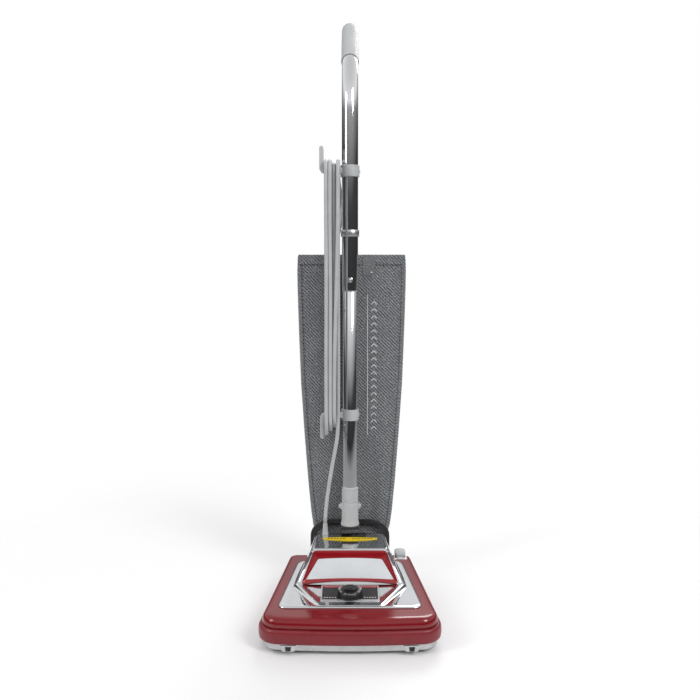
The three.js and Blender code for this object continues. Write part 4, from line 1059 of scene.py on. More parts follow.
# ---- Tube socket, cross bolt and collar: pale moulded plastic round the foot of the tube ----
# Each is turned about the tube's own line, which is TUBE_Y back from the pins.
grey_satin = finish_of(
    "grey_satin", (0.50, 0.515, 0.52), (0.32, 0.5), patch=16, grain=1500, relief=0.00003, dust=0.05,
    tone=0.05,
)
socket_profile = [
    (0.0162, 0.1004), (0.0196, 0.1004), (0.0199, 0.1010), (0.0199, 0.1046), (0.0190, 0.1062),
    (0.0184, 0.1110),
    (0.0180, 0.1125), (0.0180, 0.1285), (0.0176, 0.1290), (0.0176, 0.1300), (0.0180, 0.1305),
    (0.0180, 0.1495),
    (0.0177, 0.1510), (0.0170, 0.1518), (0.0161, 0.1520), (0.0161, 0.1500),
]
ears = rounded_block((-0.0217, TUBE_Y - 0.0069, 0.1362), (0.0217, TUBE_Y + 0.0069, 0.1488), 0.0022, 3)
on_handle(
    "tube_socket", together(turned(socket_profile, at=(0, TUBE_Y, 0), steps=56), ears), grey_satin,
    "grey_plastic", "handle_socket", sharp=35,
)
shank = turned([(0, -0.0236), (0.0029, -0.0236), (0.0029, 0.0236), (0, 0.0236)], "X", (0, TUBE_Y, 0.142), 24)
bolt_parts = [shank]
for side in (1, -1):
    heads = []
    for out, wide in ((0.0218, 0.0054), (0.0238, 0.0054), (0.0244, 0.0048)):
        ring = [
            Vector(
                (side * out, TUBE_Y + wide * cos(tau * k / 6), 0.142 + wide * sin(tau * k / 6)),
            ) for k in range(6)
        ]
        heads.append(ring)
    bolt_parts.append(loft(heads))
on_handle("cross_bolt", together(*bolt_parts), steel, "steel", "socket_bolt", sharp=30)
collar_profile = [(0.0161, 0.1524), (0.0170, 0.1524), (0.0177, 0.1532)]
for groove in (0.1568, 0.1606, 0.1788):
    collar_profile += [
        (0.0177, groove), (0.0170, groove + 0.0003), (0.0170, groove + 0.0012), (0.0177, groove + 0.0015),
    ]
collar_profile += [(0.0177, 0.1842), (0.0172, 0.1851), (0.0161, 0.1855)]
on_handle(
    "ribbed_collar", turned(collar_profile, at=(0, TUBE_Y, 0), steps=56), grey_satin, "grey_plastic",
    "handle_collar", sharp=35,
)

# ---- Chrome tubes: the upper tube sleeves over the lower one and bends back into the grip ----
# The lower tube ends inside the upper one, and a sprung button locks them together.
tube_chrome = plated("tube_chrome", (0.83, 0.84, 0.85), (0.025, 0.08), 0.02)
lower_profile = [
    (0.0143, 0.1106), (0.0155, 0.1106), (0.01588, 0.1110), (0.01588, 0.6752), (0.0155, 0.6758),
    (0.0143, 0.6758),
]
on_handle(
    "lower_tube_drawn", turned(lower_profile, at=(0, TUBE_Y, 0), steps=64), tube_chrome, "chrome",
    "lower_tube", sharp=40,
)
BEND, TURN, BEND_START = 0.139, radians(53), 0.985


def along_handle(turn, beyond=0.0):
    """A point of the bent tube's centreline and its direction there."""
    spot = Vector((0, TUBE_Y + BEND * (1 - cos(turn)), BEND_START + BEND * sin(turn)))
    way = Vector((0, sin(turn), cos(turn)))
    return spot + way * beyond, way


def pipe_ring(spot, way, radius, steps=56):
    side = Vector((1, 0, 0))
    front = way.cross(side)
    return [
        spot + side * radius * cos(tau * k / steps) + front * radius * sin(tau * k / steps)
        for k in range(steps)
    ]


UP = Vector((0, 0, 1))
tube_rings = [
    pipe_ring(Vector((0, TUBE_Y, level)), UP, radius)
    for radius,
    level in ((0.0163, 0.6062), (0.0167, 0.6060), (0.0170, 0.6064), (0.0170, 0.6090), (0.0170, 0.980))
]
for i in range(33):
    tube_rings.append(pipe_ring(*along_handle(TURN * i / 32), 0.0170))
tube_rings.append(pipe_ring(*along_handle(TURN, 0.178), 0.0170))
on_handle(
    "upper_tube_bent", loft(tube_rings, caps=(False, True)), tube_chrome, "chrome", "upper_tube", sharp=40,
)
button_profile = [
    (0, 0.0194), (0.0016, 0.0192), (0.0030, 0.0184), (0.0038, 0.0172), (0.0040, 0.0160), (0.0040, 0.0135),
    (0, 0.0135),
]
button = turned([(r, -h) for r, h in button_profile], "Y", (0, TUBE_Y, 0.631), 32)
piece("snap_button_dome", button, steel, "steel", "snap_button", "tube_snap_button", place=UPRIGHT)
dimple = turned(
    [(0.0042, -0.0166), (0.0050, -0.0171), (0.0056, -0.0168), (0.0042, -0.0166)], "Y", (0, TUBE_Y, 0.631), 32,
)
on_handle("button_hole_rim", dimple, tube_chrome, "chrome")

# ---- Grip: a soft vinyl sleeve with a rolled lip, a slight swell and a domed end ----
# It is turned straight and then laid along the end of the bent tube.
grip_pale = finish_of(
    "grip_pale", (0.50, 0.515, 0.52), (0.40, 0.58), patch=20, grain=2200, relief=0.00005, dust=0.06,
    tone=0.05,
)
grip_profile = [
    (0.0174, 0.0002), (0.0182, 0.0001), (0.0190, 0.0008), (0.0192, 0.0022), (0.0189, 0.0036),
    (0.0184, 0.0042),
    (0.0184, 0.0060), (0.01865, 0.0075), (0.01868, 0.060), (0.01872, 0.100), (0.01868, 0.150),
    (0.0186, 0.1720),
    (0.0181, 0.1770), (0.0168, 0.1812), (0.0142, 0.1838), (0.0095, 0.1848), (0.0, 0.1850),
]
sleeve = turned(grip_profile, steps=64)
spot, way = along_handle(TURN)
lay_out = Matrix.Translation(spot) @ Matrix.Rotation(-TURN, 4, "X")
piece(
    "grip_sleeve", sleeve, grip_pale, "grip_vinyl", "handle", "handle_grip", sharp=35,
    place=UPRIGHT @ lay_out,
)

# ---- Cord hooks and bag hanger: moulded hooks on bands, and a bent steel bracket ----
# The hooks face away from each other and hold the wound lead between their prongs.


def hook_shape(level, up, tube):
    """A band round the tube, an arm to the left and a prong turned up or down at its end."""
    path = [(-tube + 0.001, level, 0.0060), (-0.030, level, 0.0058), (-0.0520, level, 0.0058)]
    path += [(-0.0566, level + up * 0.0012, 0.0056), (-0.0590, level + up * 0.0046, 0.0050)]
    path += [(-0.0595, level + up * 0.0110, 0.0045), (-0.0595, level + up * 0.030, 0.0044)]
    path += [
        (-0.0597, level + up * 0.0460, 0.0043), (-0.0600, level + up * 0.0500, 0.0034),
        (-0.0601, level + up * 0.0508, 0.0022),
    ]
    rings = []
    for i, (x, z, half) in enumerate(path):
        before, after = path[max(i - 1, 0)], path[min(i + 1, len(path) - 1)]
        way = Vector((after[0] - before[0], after[1] - before[1])).normalized()
        normal = Vector((-way.y, way.x))
        deep = 0.0079 if i < len(path) - 2 else 0.0079 - 0.0016 * (i - len(path) + 3)
        outline = box_outline(-deep, -half, deep, half, [min(0.0022, half * 0.8)] * 4, 3)
        rings.append([Vector((x + normal.x * v, HANK_Y + u, z + normal.y * v)) for u, v in outline])
    band_profile = [
        (tube + 0.0003, level - 0.0118), (tube + 0.0024, level - 0.0118), (tube + 0.0029, level - 0.0112),
        (tube + 0.0029, level + 0.0112), (tube + 0.0024, level + 0.0118), (tube + 0.0003, level + 0.0118),
    ]
    band = turned(band_profile, at=(0, TUBE_Y, 0), steps=48)
    screw = turned(
        [(0, 0.0018), (0.0014, 0.0020), (0.0030, 0.0016), (0.0036, 0.0004), (0.0036, -0.0030), (0, -0.0030)],
        "X",
        (tube + 0.0026, TUBE_Y, level), 24,
    )
    return together(loft(rings), band, screw)


on_handle(
    "cord_hook_upper", hook_shape(0.858, 1, 0.0170), grey_satin, "grey_plastic", "upper_cord_hook", sharp=38,
)
on_handle(
    "cord_hook_lower", hook_shape(0.343, -1, 0.015875), grey_satin, "grey_plastic", "lower_cord_hook",
    sharp=38,
)
hanger_band = turned(
    [
        (0.0173, 0.7222), (0.0190, 0.7222), (0.0194, 0.7228), (0.0194, 0.7352), (0.0190, 0.7358),
        (0.0173, 0.7358),
    ],
    at=(0, TUBE_Y, 0), steps=48,
)
hanger_path = [
    (-0.0235, 0.7280), (0.0060, 0.7280), (0.0086, 0.7272), (0.0098, 0.7250), (0.0100, 0.7200),
    (0.0100, 0.6866),
]
hanger_rings = []
for i, (y, z) in enumerate(hanger_path):
    before, after = hanger_path[max(i - 1, 0)], hanger_path[min(i + 1, len(hanger_path) - 1)]
    way = Vector((after[0] - before[0], after[1] - before[1])).normalized()
    normal = Vector((-way.y, way.x))
    outline = box_outline(-0.0059, -0.0018, 0.0059, 0.0018, [0.0008] * 4, 2)
    hanger_rings.append([Vector((u, y + normal.x * v, z + normal.y * v)) for u, v in outline])
on_handle("hanger_bracket", together(hanger_band, loft(hanger_rings)), steel, "steel", "bag_hanger", sharp=38)

# ---- Dust bag: a hung twill sack, flat at its hemmed top and fuller low down, on a soft neck ----
# Level, half width, front and back of the bag where it hangs, in the handle's own frame.
BAG_X = 0.0035
BAG_FOOT, BAG_TOP = 0.0545, 0.6860
# How squarely the cloth turns round its sides, across and in depth.
SQUARE_X, SQUARE_Y = 0.62, 0.80
bag_lines = [
    (0.0545, 0.060, 0.016, 0.044), (0.0560, 0.074, 0.012, 0.047), (0.0620, 0.0815, 0.0095, 0.0495),
    (0.0800, 0.0870, 0.0075, 0.0545), (0.112, 0.0915, 0.0050, 0.0610), (0.180, 0.0976, -0.0020, 0.0655),
    (0.290, 0.1056, -0.0098, 0.0696), (0.400, 0.1126, -0.0108, 0.0716), (0.520, 0.1167, -0.0108, 0.0676),
    (0.610, 0.1188, -0.0098, 0.0536), (0.650, 0.1189, -0.0060, 0.0360), (0.6700, 0.1180, -0.0010, 0.0248),
    (0.6790, 0.1174, 0.0018, 0.0190), (0.6838, 0.1168, 0.0034, 0.0160), (0.6860, 0.1150, 0.0060, 0.0130),
]


def bag_line(level):
    """The bag's half width, front and back at a level, eased between the listed lines."""
    for low, high in zip(bag_lines, bag_lines[1:]):
        if level <= high[0]:
            t = (level - low[0]) / (high[0] - low[0])
            return tuple(low[k] + (high[k] - low[k]) * t for k in (1, 2, 3))
    return bag_lines[-1][1:]


def sag(x, z, side):
    """Folds of the hung cloth: long draws down from the hanger and soft dents low on the sides."""
    hang = 0.0
    rise = (z - 0.054) / 0.632
    hang += 0.0016 * sin(pi * rise) * cos(x * 62 + 1.3 + rise * 2.2)
    hang += 0.0022 * (1 - rise) ** 2 * cos(x * 96 - rise * 5 + side)
    fold = (x - (0.058 + 0.020 * rise)) / 0.0075
    hang += 0.0030 * (1 - rise) ** 1.5 * (2.718 ** (-fold * fold)) * (1 if side < 0 else 0.2)
    hang += 0.0012 * noise.noise(Vector((x * 14, z * 9, side * 3.0)))
    return hang


BAG_ROUND = 96
bag_levels = [0.0545, 0.0552, 0.0560, 0.0580, 0.0620, 0.0700, 0.0800, 0.0950, 0.112]
bag_levels += [0.112 + 0.558 * k / 62 for k in range(1, 62)]
bag_levels += [0.6700, 0.6745, 0.6790, 0.6812, 0.6838, 0.6852, 0.6860]


def cloth_y(x, level, away, upright):
    """The cloth's depth; away goes from -1 in front to 1 behind, and upright fades its folds at the sides."""
    half, front, back = bag_line(level)
    deep, middle = (back - front) / 2, (front + back) / 2
    fade = max(min((level - BAG_FOOT) / 0.06, (BAG_TOP - level) / 0.05, 1.0) * upright, 0)
    return max(middle + away * deep + away * sag(x, level, away) * fade, front - 0.004)


def bag_ring(level):
    half = bag_line(level)[0]
    ring = []
    for k in range(BAG_ROUND):
        turn = tau * k / BAG_ROUND
        c, s = cos(turn), sin(turn)
        x = half * (abs(c) ** SQUARE_X) * (1 if c > 0 else -1)
        # Flat panels that meet in a soft edge at the sides.
        away = (abs(s) ** SQUARE_Y) * (1 if s > 0 else -1)
        ring.append(Vector((x + BAG_X, cloth_y(x, level, away, abs(s)), level)))
    return ring


bag = loft([bag_ring(level) for level in bag_levels])
# The weave follows the cloth: one unit of the map is a metre, round the bag and up it.
weave_map = bag.loops.layers.uv.new("cloth")
for face in bag.faces:
    for loop in face.loops:
        spot = loop.vert.co
        loop[weave_map].uv = (spot.x + (0.5 if face.normal.y > 0 else 0.0), spot.z)


def cloth_material(name, dark, light, fleck):
    """Coarse twill: fine diagonal wales with paler threads, broad fading and slubs."""
    material = bpy.data.materials.new(name)
    material.use_nodes = True
    nodes, links = material.node_tree.nodes, material.node_tree.links
    shader = nodes["Principled BSDF"]
    shader.inputs["Sheen Weight"].default_value = 0.25
    shader.inputs["Sheen Roughness"].default_value = 0.5
    shader.inputs["Specular IOR Level"].default_value = 0.25
    map_uv = added(nodes, "UVMap")
    map_uv.uv_map = "cloth"
    wales = added(nodes, "TexWave", Scale=84, Distortion=2.2, Detail=4.0)
    wales.bands_direction = "DIAGONAL"
    crossed = added(nodes, "TexWave", Scale=150, Distortion=1.4)
    crossed.bands_direction = "Y"
    flecks = added(nodes, "TexNoise", Scale=330, Detail=2.0)
    slubs = added(nodes, "TexNoise", Scale=22, Detail=6.0)
    for texture in (wales, crossed, flecks, slubs):
        links.new(map_uv.outputs["UV"], texture.inputs["Vector"])
    wear = placed(nodes, WEAR, Patch=6.0, Grain=1400)
    weft = ranged(nodes, links, crossed.outputs["Fac"], 0.35, 1.0)
    threads = product(nodes, links, wales.outputs["Fac"], weft)
    base = blend_colours(nodes, links, threads, dark, light)
    specks = ranged(nodes, links, flecks.outputs["Fac"], 0.0, 1.0, 0.54, 0.72)
    flecked = blend_colours(nodes, links, specks, base, fleck)
    worn = ranged(nodes, links, slubs.outputs["Fac"], 0.0, 0.45)
    faded = blend_colours(nodes, links, worn, flecked, dark)
    surfaced(nodes, links, faded, 0.15, wear, (0.82, 0.96), threads, 0.0003)
    return material


bag_twill = cloth_material(
    "bag_twill", (0.052, 0.057, 0.062, 1.0), (0.440, 0.460, 0.480, 1.0), (0.54, 0.55, 0.56, 1.0),
)
bag_piece = on_handle("twill_bag", bag, bag_twill, "bag_cloth", "dust_bag", sharp=60)

# Hem, side seams and stitches lie on the cloth; each is carried along a line drawn on the bag.
def on_bag(x, level, side=-1, lift=0.0004):
    """The cloth's front (side -1) or back at a place, lifted a little outwards."""
    c = min(max(x / bag_line(level)[0], -0.999), 0.999)
    turn_c = abs(c) ** (1 / SQUARE_X)
    s = sqrt(max(1 - turn_c * turn_c, 0.0))
    return Vector((x + BAG_X, cloth_y(x, level, side * s ** SQUARE_Y, s) + side * lift, level))


def ribbon(line, wide, thick):
    """A narrow raised strip along a line on the cloth, its width across the line and facing forward."""
    rings = []
    for i, spot in enumerate(line):
        way = (line[min(i + 1, len(line) - 1)] - line[max(i - 1, 0)]).normalized()
        out = Vector((0, -1, 0))
        across = way.cross(out).normalized() * wide / 2
        out = across.cross(way).normalized() * (thick if across.cross(way).y < 0 else -thick)
        rings.append(
            [
                spot - across, spot - across * 0.8 + out, spot + across * 0.8 + out, spot + across,
                spot - out * 0.6,
            ],
        )
    return loft(rings)


seam_cloth = cloth_material(
    "seam_cloth", (0.034, 0.036, 0.040, 1.0), (0.26, 0.27, 0.28, 1.0), (0.44, 0.45, 0.46, 1.0),
)


def mapped(made):
    """Gives a bmesh the cloth's own map, in metres."""
    layer = made.loops.layers.uv.new("cloth")
    for face in made.faces:
        for loop in face.loops:
            loop[layer].uv = (loop.vert.co.x + loop.vert.co.y, loop.vert.co.z)
    return made


def side_line(sign, inset, low, high, count):
    return [
        on_bag(sign * (bag_line(z)[0] - inset), z)
        for z in (low + (high - low) * k / count for k in range(count + 1))
    ]


seams = [ribbon(side_line(sign, 0.0105, 0.075, 0.664, 60), 0.0030, 0.0007) for sign in (1, -1)]
hem_line = [on_bag(x, 0.6640) for x in (-0.112 + 0.224 * k / 40 for k in range(41))]
seams.append(ribbon(hem_line, 0.0036, 0.0008))
on_handle("bag_seams", mapped(together(*seams)), seam_cloth, "bag_cloth", sharp=60)
thread_pale = finish_of("thread_pale", (0.34, 0.35, 0.36), (0.6, 0.8), dust=0.05)
STITCH, PITCH = 0.003, 0.0049
stitches = []
for sign in (1, -1):
    for offset in (0.0085, 0.0125):
        for k in range(118):
            z = 0.080 + k * PITCH
            ends = (on_bag(sign * (bag_line(at)[0] - offset), at, lift=0.0006) for at in (z, z + STITCH))
            stitches.append(tuple(ends))
for level in (0.6610, 0.6668, 0.6775):
    for k in range(46):
        x = -0.1115 + k * PITCH
        stitches.append((on_bag(x, level, lift=0.0007), on_bag(x + STITCH, level, lift=0.0007)))
thread = bmesh.new()
for foot, head in stitches:
    way = head - foot
    turn = way.to_track_quat("X", "Z").to_matrix().to_4x4()
    size = Matrix.Diagonal((way.length, 0.00055, 0.00055, 1))
    bmesh.ops.create_cube(thread, size=1, matrix=Matrix.Translation((foot + head) / 2) @ turn @ size)
on_handle("bag_stitches", thread, thread_pale, "bag_cloth")

# A folded cloth tab with its eyelet hangs the bag from the bracket; a plain printed band runs down the front.
tab = bmesh.new()
bmesh.ops.create_grid(tab, x_segments=10, y_segments=14, size=0.5)
for vert in tab.verts:
    x = 0.0370 + vert.co.x * 0.026
    z = 0.6610 + vert.co.y * 0.041
    vert.co = on_bag(x, z, lift=0.0014)
bmesh.ops.solidify(tab, geom=tab.faces[:], thickness=-0.0011)
tab_cloth = cloth_material(
    "tab_cloth", (0.13, 0.135, 0.14, 1.0), (0.26, 0.27, 0.275, 1.0), (0.36, 0.37, 0.38, 1.0),
)
on_handle("bag_tab", mapped(tab), tab_cloth, "bag_cloth", sharp=50)
eyelet_at = on_bag(0.0440, 0.6490, lift=0.0030)
eyelet = turned(
    [(0.0011, 0.0), (0.0026, -0.0005), (0.0030, 0.0002), (0.0026, 0.0010), (0.0011, 0.0008), (0.0011, 0.0)],
    "Y", eyelet_at, 24,
)
on_handle("tab_eyelet", eyelet, steel, "steel")
mark_white = finish_of(
    "mark_white", (0.66, 0.67, 0.67), (0.6, 0.8), grain=1300, relief=0.00012, dust=0.08, tone=0.1,
)
prints = []
rule = [on_bag(0.0345, z, lift=0.0005) for z in (0.292 + 0.308 * k / 50 for k in range(51))]
prints.append(ribbon(rule, 0.0016, 0.00025))
for k in range(19):
    z = 0.305 + k * 0.0152
    left, peak, right = (
        on_bag(x, z + up, lift=0.0005) for x, up in ((0.0425, 0.0), (0.0485, 0.0060), (0.0545, 0.0))
    )
    prints.append(ribbon([left, left.lerp(peak, 0.5), peak], 0.0022, 0.00025))
    prints.append(ribbon([peak, peak.lerp(right, 0.5), right], 0.0022, 0.00025))
on_handle("bag_print", together(*prints), mark_white, "bag_cloth")

# The neck: a gathered cloth sleeve from the port's clamp into the underside of the bag.
neck_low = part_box("bag_neck")[0]
NECK_TOP = UPRIGHT @ Vector((PORT[0], 0.030, 0.0560))
neck_rings = []
for i in range(29):
    t = i / 28
    ease = eased(t)
    centre = Vector((PORT[0], PORT[1], neck_low.z - 0.0030)).lerp(
        Vector((PORT[0], NECK_TOP.y, NECK_TOP.z)), t,
    )
    centre.y = PORT[1] + (NECK_TOP.y - PORT[1]) * ease
    wide, deep = 0.0222 + (0.036 - 0.0222) * ease, 0.0222 + (0.0155 - 0.0222) * ease
    ring = []
    for k in range(96):
        turn = tau * k / 96
        pleat = 1 + 0.045 * sin(pi * t) * cos(
            14 * turn + 0.6 * sin(3 * turn),
        ) - 0.03 * sin(pi * min(t * 3, 1))
        ring.append(centre + Vector((wide * pleat * cos(turn), deep * pleat * sin(turn), 0)))
    neck_rings.append(ring)
neck = mapped(loft(neck_rings, caps=(False, False)))
neck_piece = piece("neck_sleeve", neck, bag_twill, "bag_cloth", None, "bag_neck", sharp=180)
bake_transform(neck_piece)
clamp_profile = [
    (0.0223, clamp_low.z), (0.0240, clamp_low.z), (0.0246, clamp_low.z + 0.0006),
    (0.0246, clamp_low.z + 0.0022),
    (0.0240, clamp_low.z + 0.0028), (0.0240, clamp_high.z - 0.0028), (0.0246, clamp_high.z - 0.0022),
    (0.0246, clamp_high.z - 0.0006), (0.0240, clamp_high.z), (0.0223, clamp_high.z),
]
clamp_screw = rounded_block(
    (PORT[0] + 0.010, PORT[1] - 0.0254, clamp_low.z + 0.002),
    (PORT[0] + 0.019, PORT[1] - 0.0190, clamp_high.z - 0.002), 0.0008, 2,
)
piece(
    "port_clamp", together(turned(clamp_profile, at=(*PORT, 0), steps=56), clamp_screw), steel, "steel",
    "base",
    "bag_clamp", sharp=35,
)

# ---- Floor pan: the underside of the base behind the bottom plate, open over the wheels and the mouth ----
# The rear wheels stand in wells cut through it.
PAN_FRONT = FRONT + 0.121
pan = loft([
    base_outline(inset, z) for inset, z in (
        (0.0125, 0.0141), (0.0108, 0.0150), (0.0090, 0.0200), (0.0083, 0.0230), (0.0083, 0.0300),
        (0.0113, 0.0300),
        (0.0120, 0.0170),
    )
])
sliced(pan, (0, PAN_FRONT, 0), (0, 1, 0), clear_inner=True)
rim_edges = [edge for edge in pan.edges if len(edge.link_faces) == 1]
bmesh.ops.holes_fill(pan, edges=rim_edges)
bmesh.ops.recalc_face_normals(pan, faces=pan.faces)
pan_piece = piece("floor_pan", pan, red_gloss, "red_gloss", "base", sharp=40)
wells = []
for word in ("left", "right"):
    low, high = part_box(f"rear_wheel_{word}")
    wells.append(rounded_block(
        (low.x - 0.0012, low.y - 0.002, 0.0), (high.x + 0.0012, high.y + 0.002, 0.060), 0.002, 2,
    ))
carved(pan_piece, *wells)

# ---- Wheels, pedal and spring: rubber tyres on grey hubs, a moulded foot pedal over its coil ----
# All four wheels come from one function, each on its own body.
tyre_rubber = finish_of(
    "tyre_rubber", (0.020, 0.020, 0.021), (0.6, 0.85), patch=20, grain=1200, relief=0.0001, dust=0.3,
    tone=0.2,
)


def wheel(name, node, body, hub_radius, outward):
    """A tyre with a shallow tread, and a dished hub cap on its outer side."""
    low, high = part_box(node)
    at = ((low.x + high.x) / 2, (low.y + high.y) / 2, (low.z + high.z) / 2)
    radius, half = (high.z - low.z) / 2, (high.x - low.x) / 2
    profile = [
        (hub_radius, -half * 0.9), (radius * 0.80, -half), (radius - 0.0020, -half),
        (radius - 0.0006, -half + 0.0012),
    ]
    for groove in (-0.45, 0.0, 0.45):
        profile += [
            (radius, half * groove - 0.0014), (radius - 0.0009, half * groove - 0.0007),
            (radius - 0.0009, half * groove + 0.0007), (radius, half * groove + 0.0014),
        ]
    profile += [
        (radius - 0.0006, half - 0.0012), (radius - 0.0020, half), (radius * 0.80, half),
        (hub_radius, half * 0.9),
    ]
    profile.append(profile[0])
    piece(name + "_tyre", turned(profile, "X", at, 72), tyre_rubber, "tyre_rubber", body, node, sharp=40)
    cap = [
        (0, outward * half * 0.74), (hub_radius * 0.45, outward * half * 0.74),
        (hub_radius * 0.55, outward * half * 0.90),
        (hub_radius * 0.92, outward * half * 0.90), (hub_radius + 0.0006, outward * half * 0.82),
        (hub_radius + 0.0006, -outward * half * 0.6), (0, -outward * half * 0.6),
    ]
    piece(name + "_hub", turned(cap, "X", at, 48), grey_satin, "grey_plastic", body, sharp=35)


for side, word in ((1, "right"), (-1, "left")):
    wheel(f"rear_wheel_{word}", f"rear_wheel_{word}", f"rear_wheel_{word}", 0.0165, side)
    wheel(f"front_wheel_{word}", f"front_wheel_{word}", f"front_wheel_{word}", 0.0080, side)

pedal_rings = []
for i in range(13):
    share = i / 12
    y = FRONT + 0.3228 + 0.0330 * share
    crown = 0.0016 * sin(pi * share) + 0.0004
    nip = 0.0035 * (2 * share - 1) ** 4
    sole, top = 0.0606 + nip * 0.8, 0.0742 + crown - nip
    outline = box_outline(
        pedal_low.x + nip, sole, pedal_high.x - nip, top, [0.002, 0.002, 0.0045, 0.0045], 4,
    )
    pedal_rings.append([Vector((x, y, min(z, pedal_high.z))) for x, z in outline])
pedal_parts = [loft(pedal_rings)]
pedal_parts.append(rounded_block(
    (pedal_low.x + 0.0045, FRONT + 0.3082, 0.0602), (pedal_high.x - 0.0045, FRONT + 0.3275, 0.0668), 0.0015,
    2,
))
pedal_parts.append(turned(
    [(0, pedal_low.x + 0.0046), (0.0050, pedal_low.x + 0.0046), (0.0055, pedal_low.x + 0.0052),
     (0.0055, pedal_high.x - 0.0052), (0.0050, pedal_high.x - 0.0046), (0, pedal_high.x - 0.0046)],
    "X", (0, FRONT + 0.308, 0.0625), 32,
))
for i in range(5):
    y = FRONT + 0.3305 + i * 0.0042
    pedal_parts.append(rounded_block(
        (pedal_low.x + 0.0040, y, 0.0740), (pedal_high.x - 0.0040, y + 0.0016, 0.0762), 0.0006, 1,
    ))
piece(
    "foot_pedal", together(*pedal_parts), grey_satin, "grey_plastic", "release_pedal", "release_pedal",
    sharp=40,
)
spring_low, spring_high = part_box("pedal_spring")
spring_at = (spring_low + spring_high) / 2
coil_rings = []
for i in range(241):
    turn = tau * 5 * i / 240
    way = Vector((-sin(turn), cos(turn), 0.0744)).normalized()
    out = Vector((cos(turn), sin(turn), 0))
    centre = Vector((spring_at.x, spring_at.y, spring_low.z + 0.0008 + 0.0128 * i / 240)) + out * 0.0055
    up = out.cross(way).normalized()
    coil_rings.append(
        [centre + out * 0.0008 * cos(tau * k / 10) + up * 0.0008 * sin(tau * k / 10) for k in range(10)],
    )
coil = piece("pedal_coil", loft(coil_rings), steel, "steel", "base", "pedal_spring", sharp=60)
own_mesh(coil)

# ---- Brush roll: a turned beech dowel with four rows of nylon tufts set along a helix ----
# One row of tufts stands for one bristle strip, and the groove between the rows takes the belt.
roll_low, roll_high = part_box("brush_roll")
ROLL = Vector((0, (roll_low.y + roll_high.y) / 2, (roll_low.z + roll_high.z) / 2))
roll_wood = finish_of(
    "roll_wood", (0.46, 0.29, 0.15), (0.35, 0.6), patch=30, grain=500, relief=0.00008, dust=0.2, tone=0.22,
)
nylon = finish_of(
    "bristle_nylon", (0.016, 0.016, 0.018), (0.4, 0.6), patch=60, grain=2500, dust=0.25, tone=0.2,
)
wood_profile = [
    (0, -0.148), (0.0180, -0.148), (0.0190, -0.147), (0.0190, -0.0145), (0.0178, -0.0125), (0.0138, -0.0098),
    (0.0130, -0.0088), (0.0130, 0.0088), (0.0138, 0.0098), (0.0178, 0.0125), (0.0190, 0.0145),
    (0.0190, 0.147),
    (0.0180, 0.148), (0, 0.148),
]
piece(
    "roll_dowel", turned(wood_profile, "X", ROLL, 64), roll_wood, "roll_wood", "brush_roll", "brush_roll",
    sharp=35,
)
for word, low, high, start in (
    ("right_a", 0.018, 0.142, 0.0), ("right_b", 0.018, 0.142, pi),
    ("left_a", -0.142, -0.018, 0.0), ("left_b", -0.142, -0.018, pi),
):
    tufts = []
    for k in range(26):
        along = low + (high - low) * k / 25
        turn = start + along / 0.148 * pi * 0.75
        out = Vector((0, -sin(turn), cos(turn)))
        spot = ROLL + Vector((along, 0, 0))
        profile = [
            (0, 0.0180), (0.0016, 0.0180), (0.0016, 0.0196), (0.0022, 0.0232), (0.0025, 0.0244),
            (0.0, 0.0245),
        ]
        tuft = turned(profile, steps=10)
        pose = Matrix.Translation(spot) @ Matrix.Rotation(turn, 4, "X")
        bmesh.ops.transform(tuft, matrix=pose, verts=tuft.verts)
        tufts.append(tuft)
    piece(
        f"tufts_{word}", together(*tufts), nylon, "bristle_nylon", "brush_roll", f"bristle_strip_{word}",
        sharp=50,
    )

# ---- Everything inside the base keeps its CAD mesh and gets its own finish ----
# None of it shows from outside, so only its finish changes; the record's slot says which.
cast_metal = finish_of(
    "cast_metal", (0.52, 0.53, 0.54), (0.42, 0.62), grain=700, relief=0.00012, dust=0.3, Metallic=1.0,
)
copper = finish_of(
    "copper_winding", (0.45, 0.17, 0.07), (0.3, 0.5), patch=30, grain=2600, relief=0.0002, dust=0.1,
    tone=0.25, Metallic=1.0,
)
belt_rubber = finish_of(
    "belt_rubber", (0.018, 0.018, 0.018), (0.5, 0.7), grain=900, relief=0.00005, dust=0.25, tone=0.2,
)
bulb_glass = finish_of("bulb_glass", (0.9, 0.9, 0.88), (0.03, 0.08), dust=0.05, Transmission_Weight=0.85)
finishes = {
    "black_steel": black_steel, "red_gloss": red_gloss, "red_vinyl": red_vinyl, "steel": steel,
    "chrome": chrome, "lens_frosted": lens_pale,
    "black_plastic": print_black, "label_yellow": strip_yellow, "bulb_glass": bulb_glass,
    "cast_aluminium": cast_metal, "copper_winding": copper, "roll_wood": roll_wood, "bristle_nylon": nylon,
    "belt_rubber": belt_rubber, "tyre_rubber": tyre_rubber, "bag_cloth": bag_twill,
    "grey_plastic": grey_satin,
    "grip_vinyl": grip_pale, "cord_jacket": cord_grey,
}
for row in frame["record"]["subparts"]:
    node = frame["nodes"][row["node"]]
    node.data.materials.clear()
    node.data.materials.append(finishes[row["material_slot"]])

# ---- Floor and light ----
# A pale floor, three soft lights, and a surround that is white to the eye and banded in the plating.
floor_mesh = bmesh.new()
bmesh.ops.create_grid(floor_mesh, x_segments=1, y_segments=1, size=6.0)
floor_sheet = bpy.data.meshes.new("floor")
floor_mesh.to_mesh(floor_sheet)
floor_mesh.free()
floor = bpy.data.objects.new("floor", floor_sheet)
bpy.context.scene.collection.objects.link(floor)
floor_paint = bpy.data.materials.new("pale_floor")
floor_paint.use_nodes = True
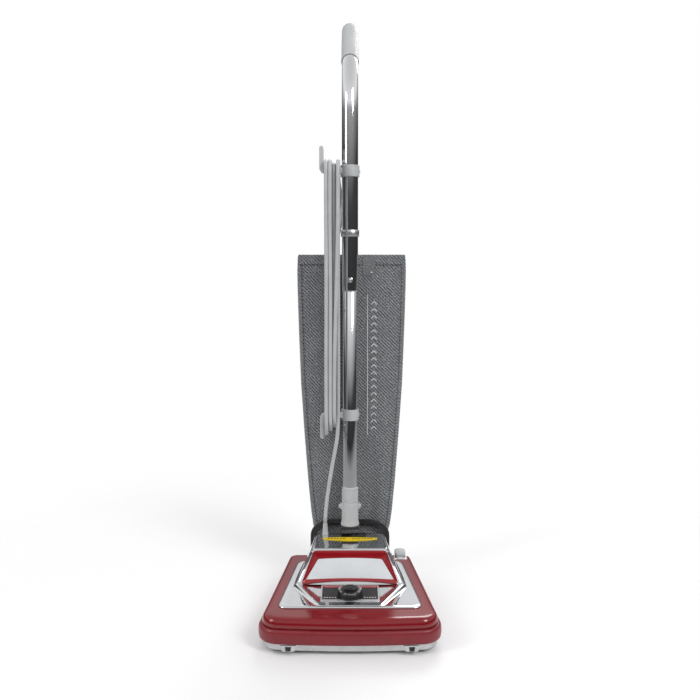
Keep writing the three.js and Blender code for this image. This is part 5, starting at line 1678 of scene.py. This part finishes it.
# The floor fades out round the machine, so that it has no edge against the white surround.
floor_nodes, floor_links = floor_paint.node_tree.nodes, floor_paint.node_tree.links
floor_shader = floor_nodes["Principled BSDF"]
floor_shader.inputs["Base Color"].default_value = (0.90, 0.90, 0.90, 1)
floor_shader.inputs["Roughness"].default_value = 0.6
floor_reach = added(floor_nodes, "VectorMath")
floor_reach.operation = "LENGTH"
floor_links.new(added(floor_nodes, "TexCoord").outputs["Object"], floor_reach.inputs[0])
floor_fade = ranged(floor_nodes, floor_links, floor_reach.outputs["Value"], 1.0, 0.0, 0.35, 1.25)
floor_fade.node.interpolation_type = "SMOOTHSTEP"
floor_links.new(floor_fade, floor_shader.inputs["Alpha"])
floor.data.materials.append(floor_paint)


def soft_light(name, spot, aim, size, power):
    data = bpy.data.lights.new(name, "AREA")
    data.shape = "RECTANGLE"
    data.size, data.size_y = size
    data.energy = power
    lamp = bpy.data.objects.new(name, data)
    lamp.location = spot
    lamp.rotation_euler = (Vector(aim) - Vector(spot)).to_track_quat("-Z", "Y").to_euler()
    bpy.context.scene.collection.objects.link(lamp)


soft_light("key", (1.9, -2.0, 2.5), (0, 0, 0.5), (0.9, 1.6), 46)
soft_light("fill", (-2.4, -1.4, 1.8), (0, 0, 0.5), (0.9, 1.8), 26)
soft_light("rim", (0.6, 2.4, 2.4), (0, 0, 0.6), (1.6, 1.0), 30)
surround = bpy.data.worlds.new("surround")
surround.use_nodes = True
bpy.context.scene.world = surround
sky_nodes, sky_links = surround.node_tree.nodes, surround.node_tree.links
sky_split = added(sky_nodes, "SeparateXYZ")
sky_links.new(added(sky_nodes, "TexCoord").outputs["Generated"], sky_split.inputs[0])
sky_height = ranged(sky_nodes, sky_links, sky_split.outputs["Z"], 0.0, 1.0, -1.0)
# What the plating mirrors: a dark far wall between a pale floor and a bright ceiling.
sky_ramp = added(sky_nodes, "ValToRGB")
steps = sky_ramp.color_ramp.elements
steps[0].position, steps[0].color = 0.30, (0.42, 0.42, 0.43, 1)
steps[1].position, steps[1].color = 0.98, (0.62, 0.62, 0.62, 1)
for at, tone in ((0.46, 0.30), (0.50, 0.03), (0.57, 0.05), (0.64, 0.42), (0.72, 0.85)):
    step = steps.new(at)
    step.color = (tone, tone, tone * 1.02, 1)
sky_links.new(sky_height, sky_ramp.inputs["Fac"])
seen = added(sky_nodes, "LightPath").outputs["Is Camera Ray"]
surround_colour = blend_colours(sky_nodes, sky_links, seen, sky_ramp.outputs["Color"], (1.0, 1.0, 1.0, 1.0))
sky_links.new(surround_colour, sky_nodes["Background"].inputs["Color"])
sky_nodes["Background"].inputs["Strength"].default_value = 1.0
bpy.context.scene.view_settings.view_transform = "Standard"
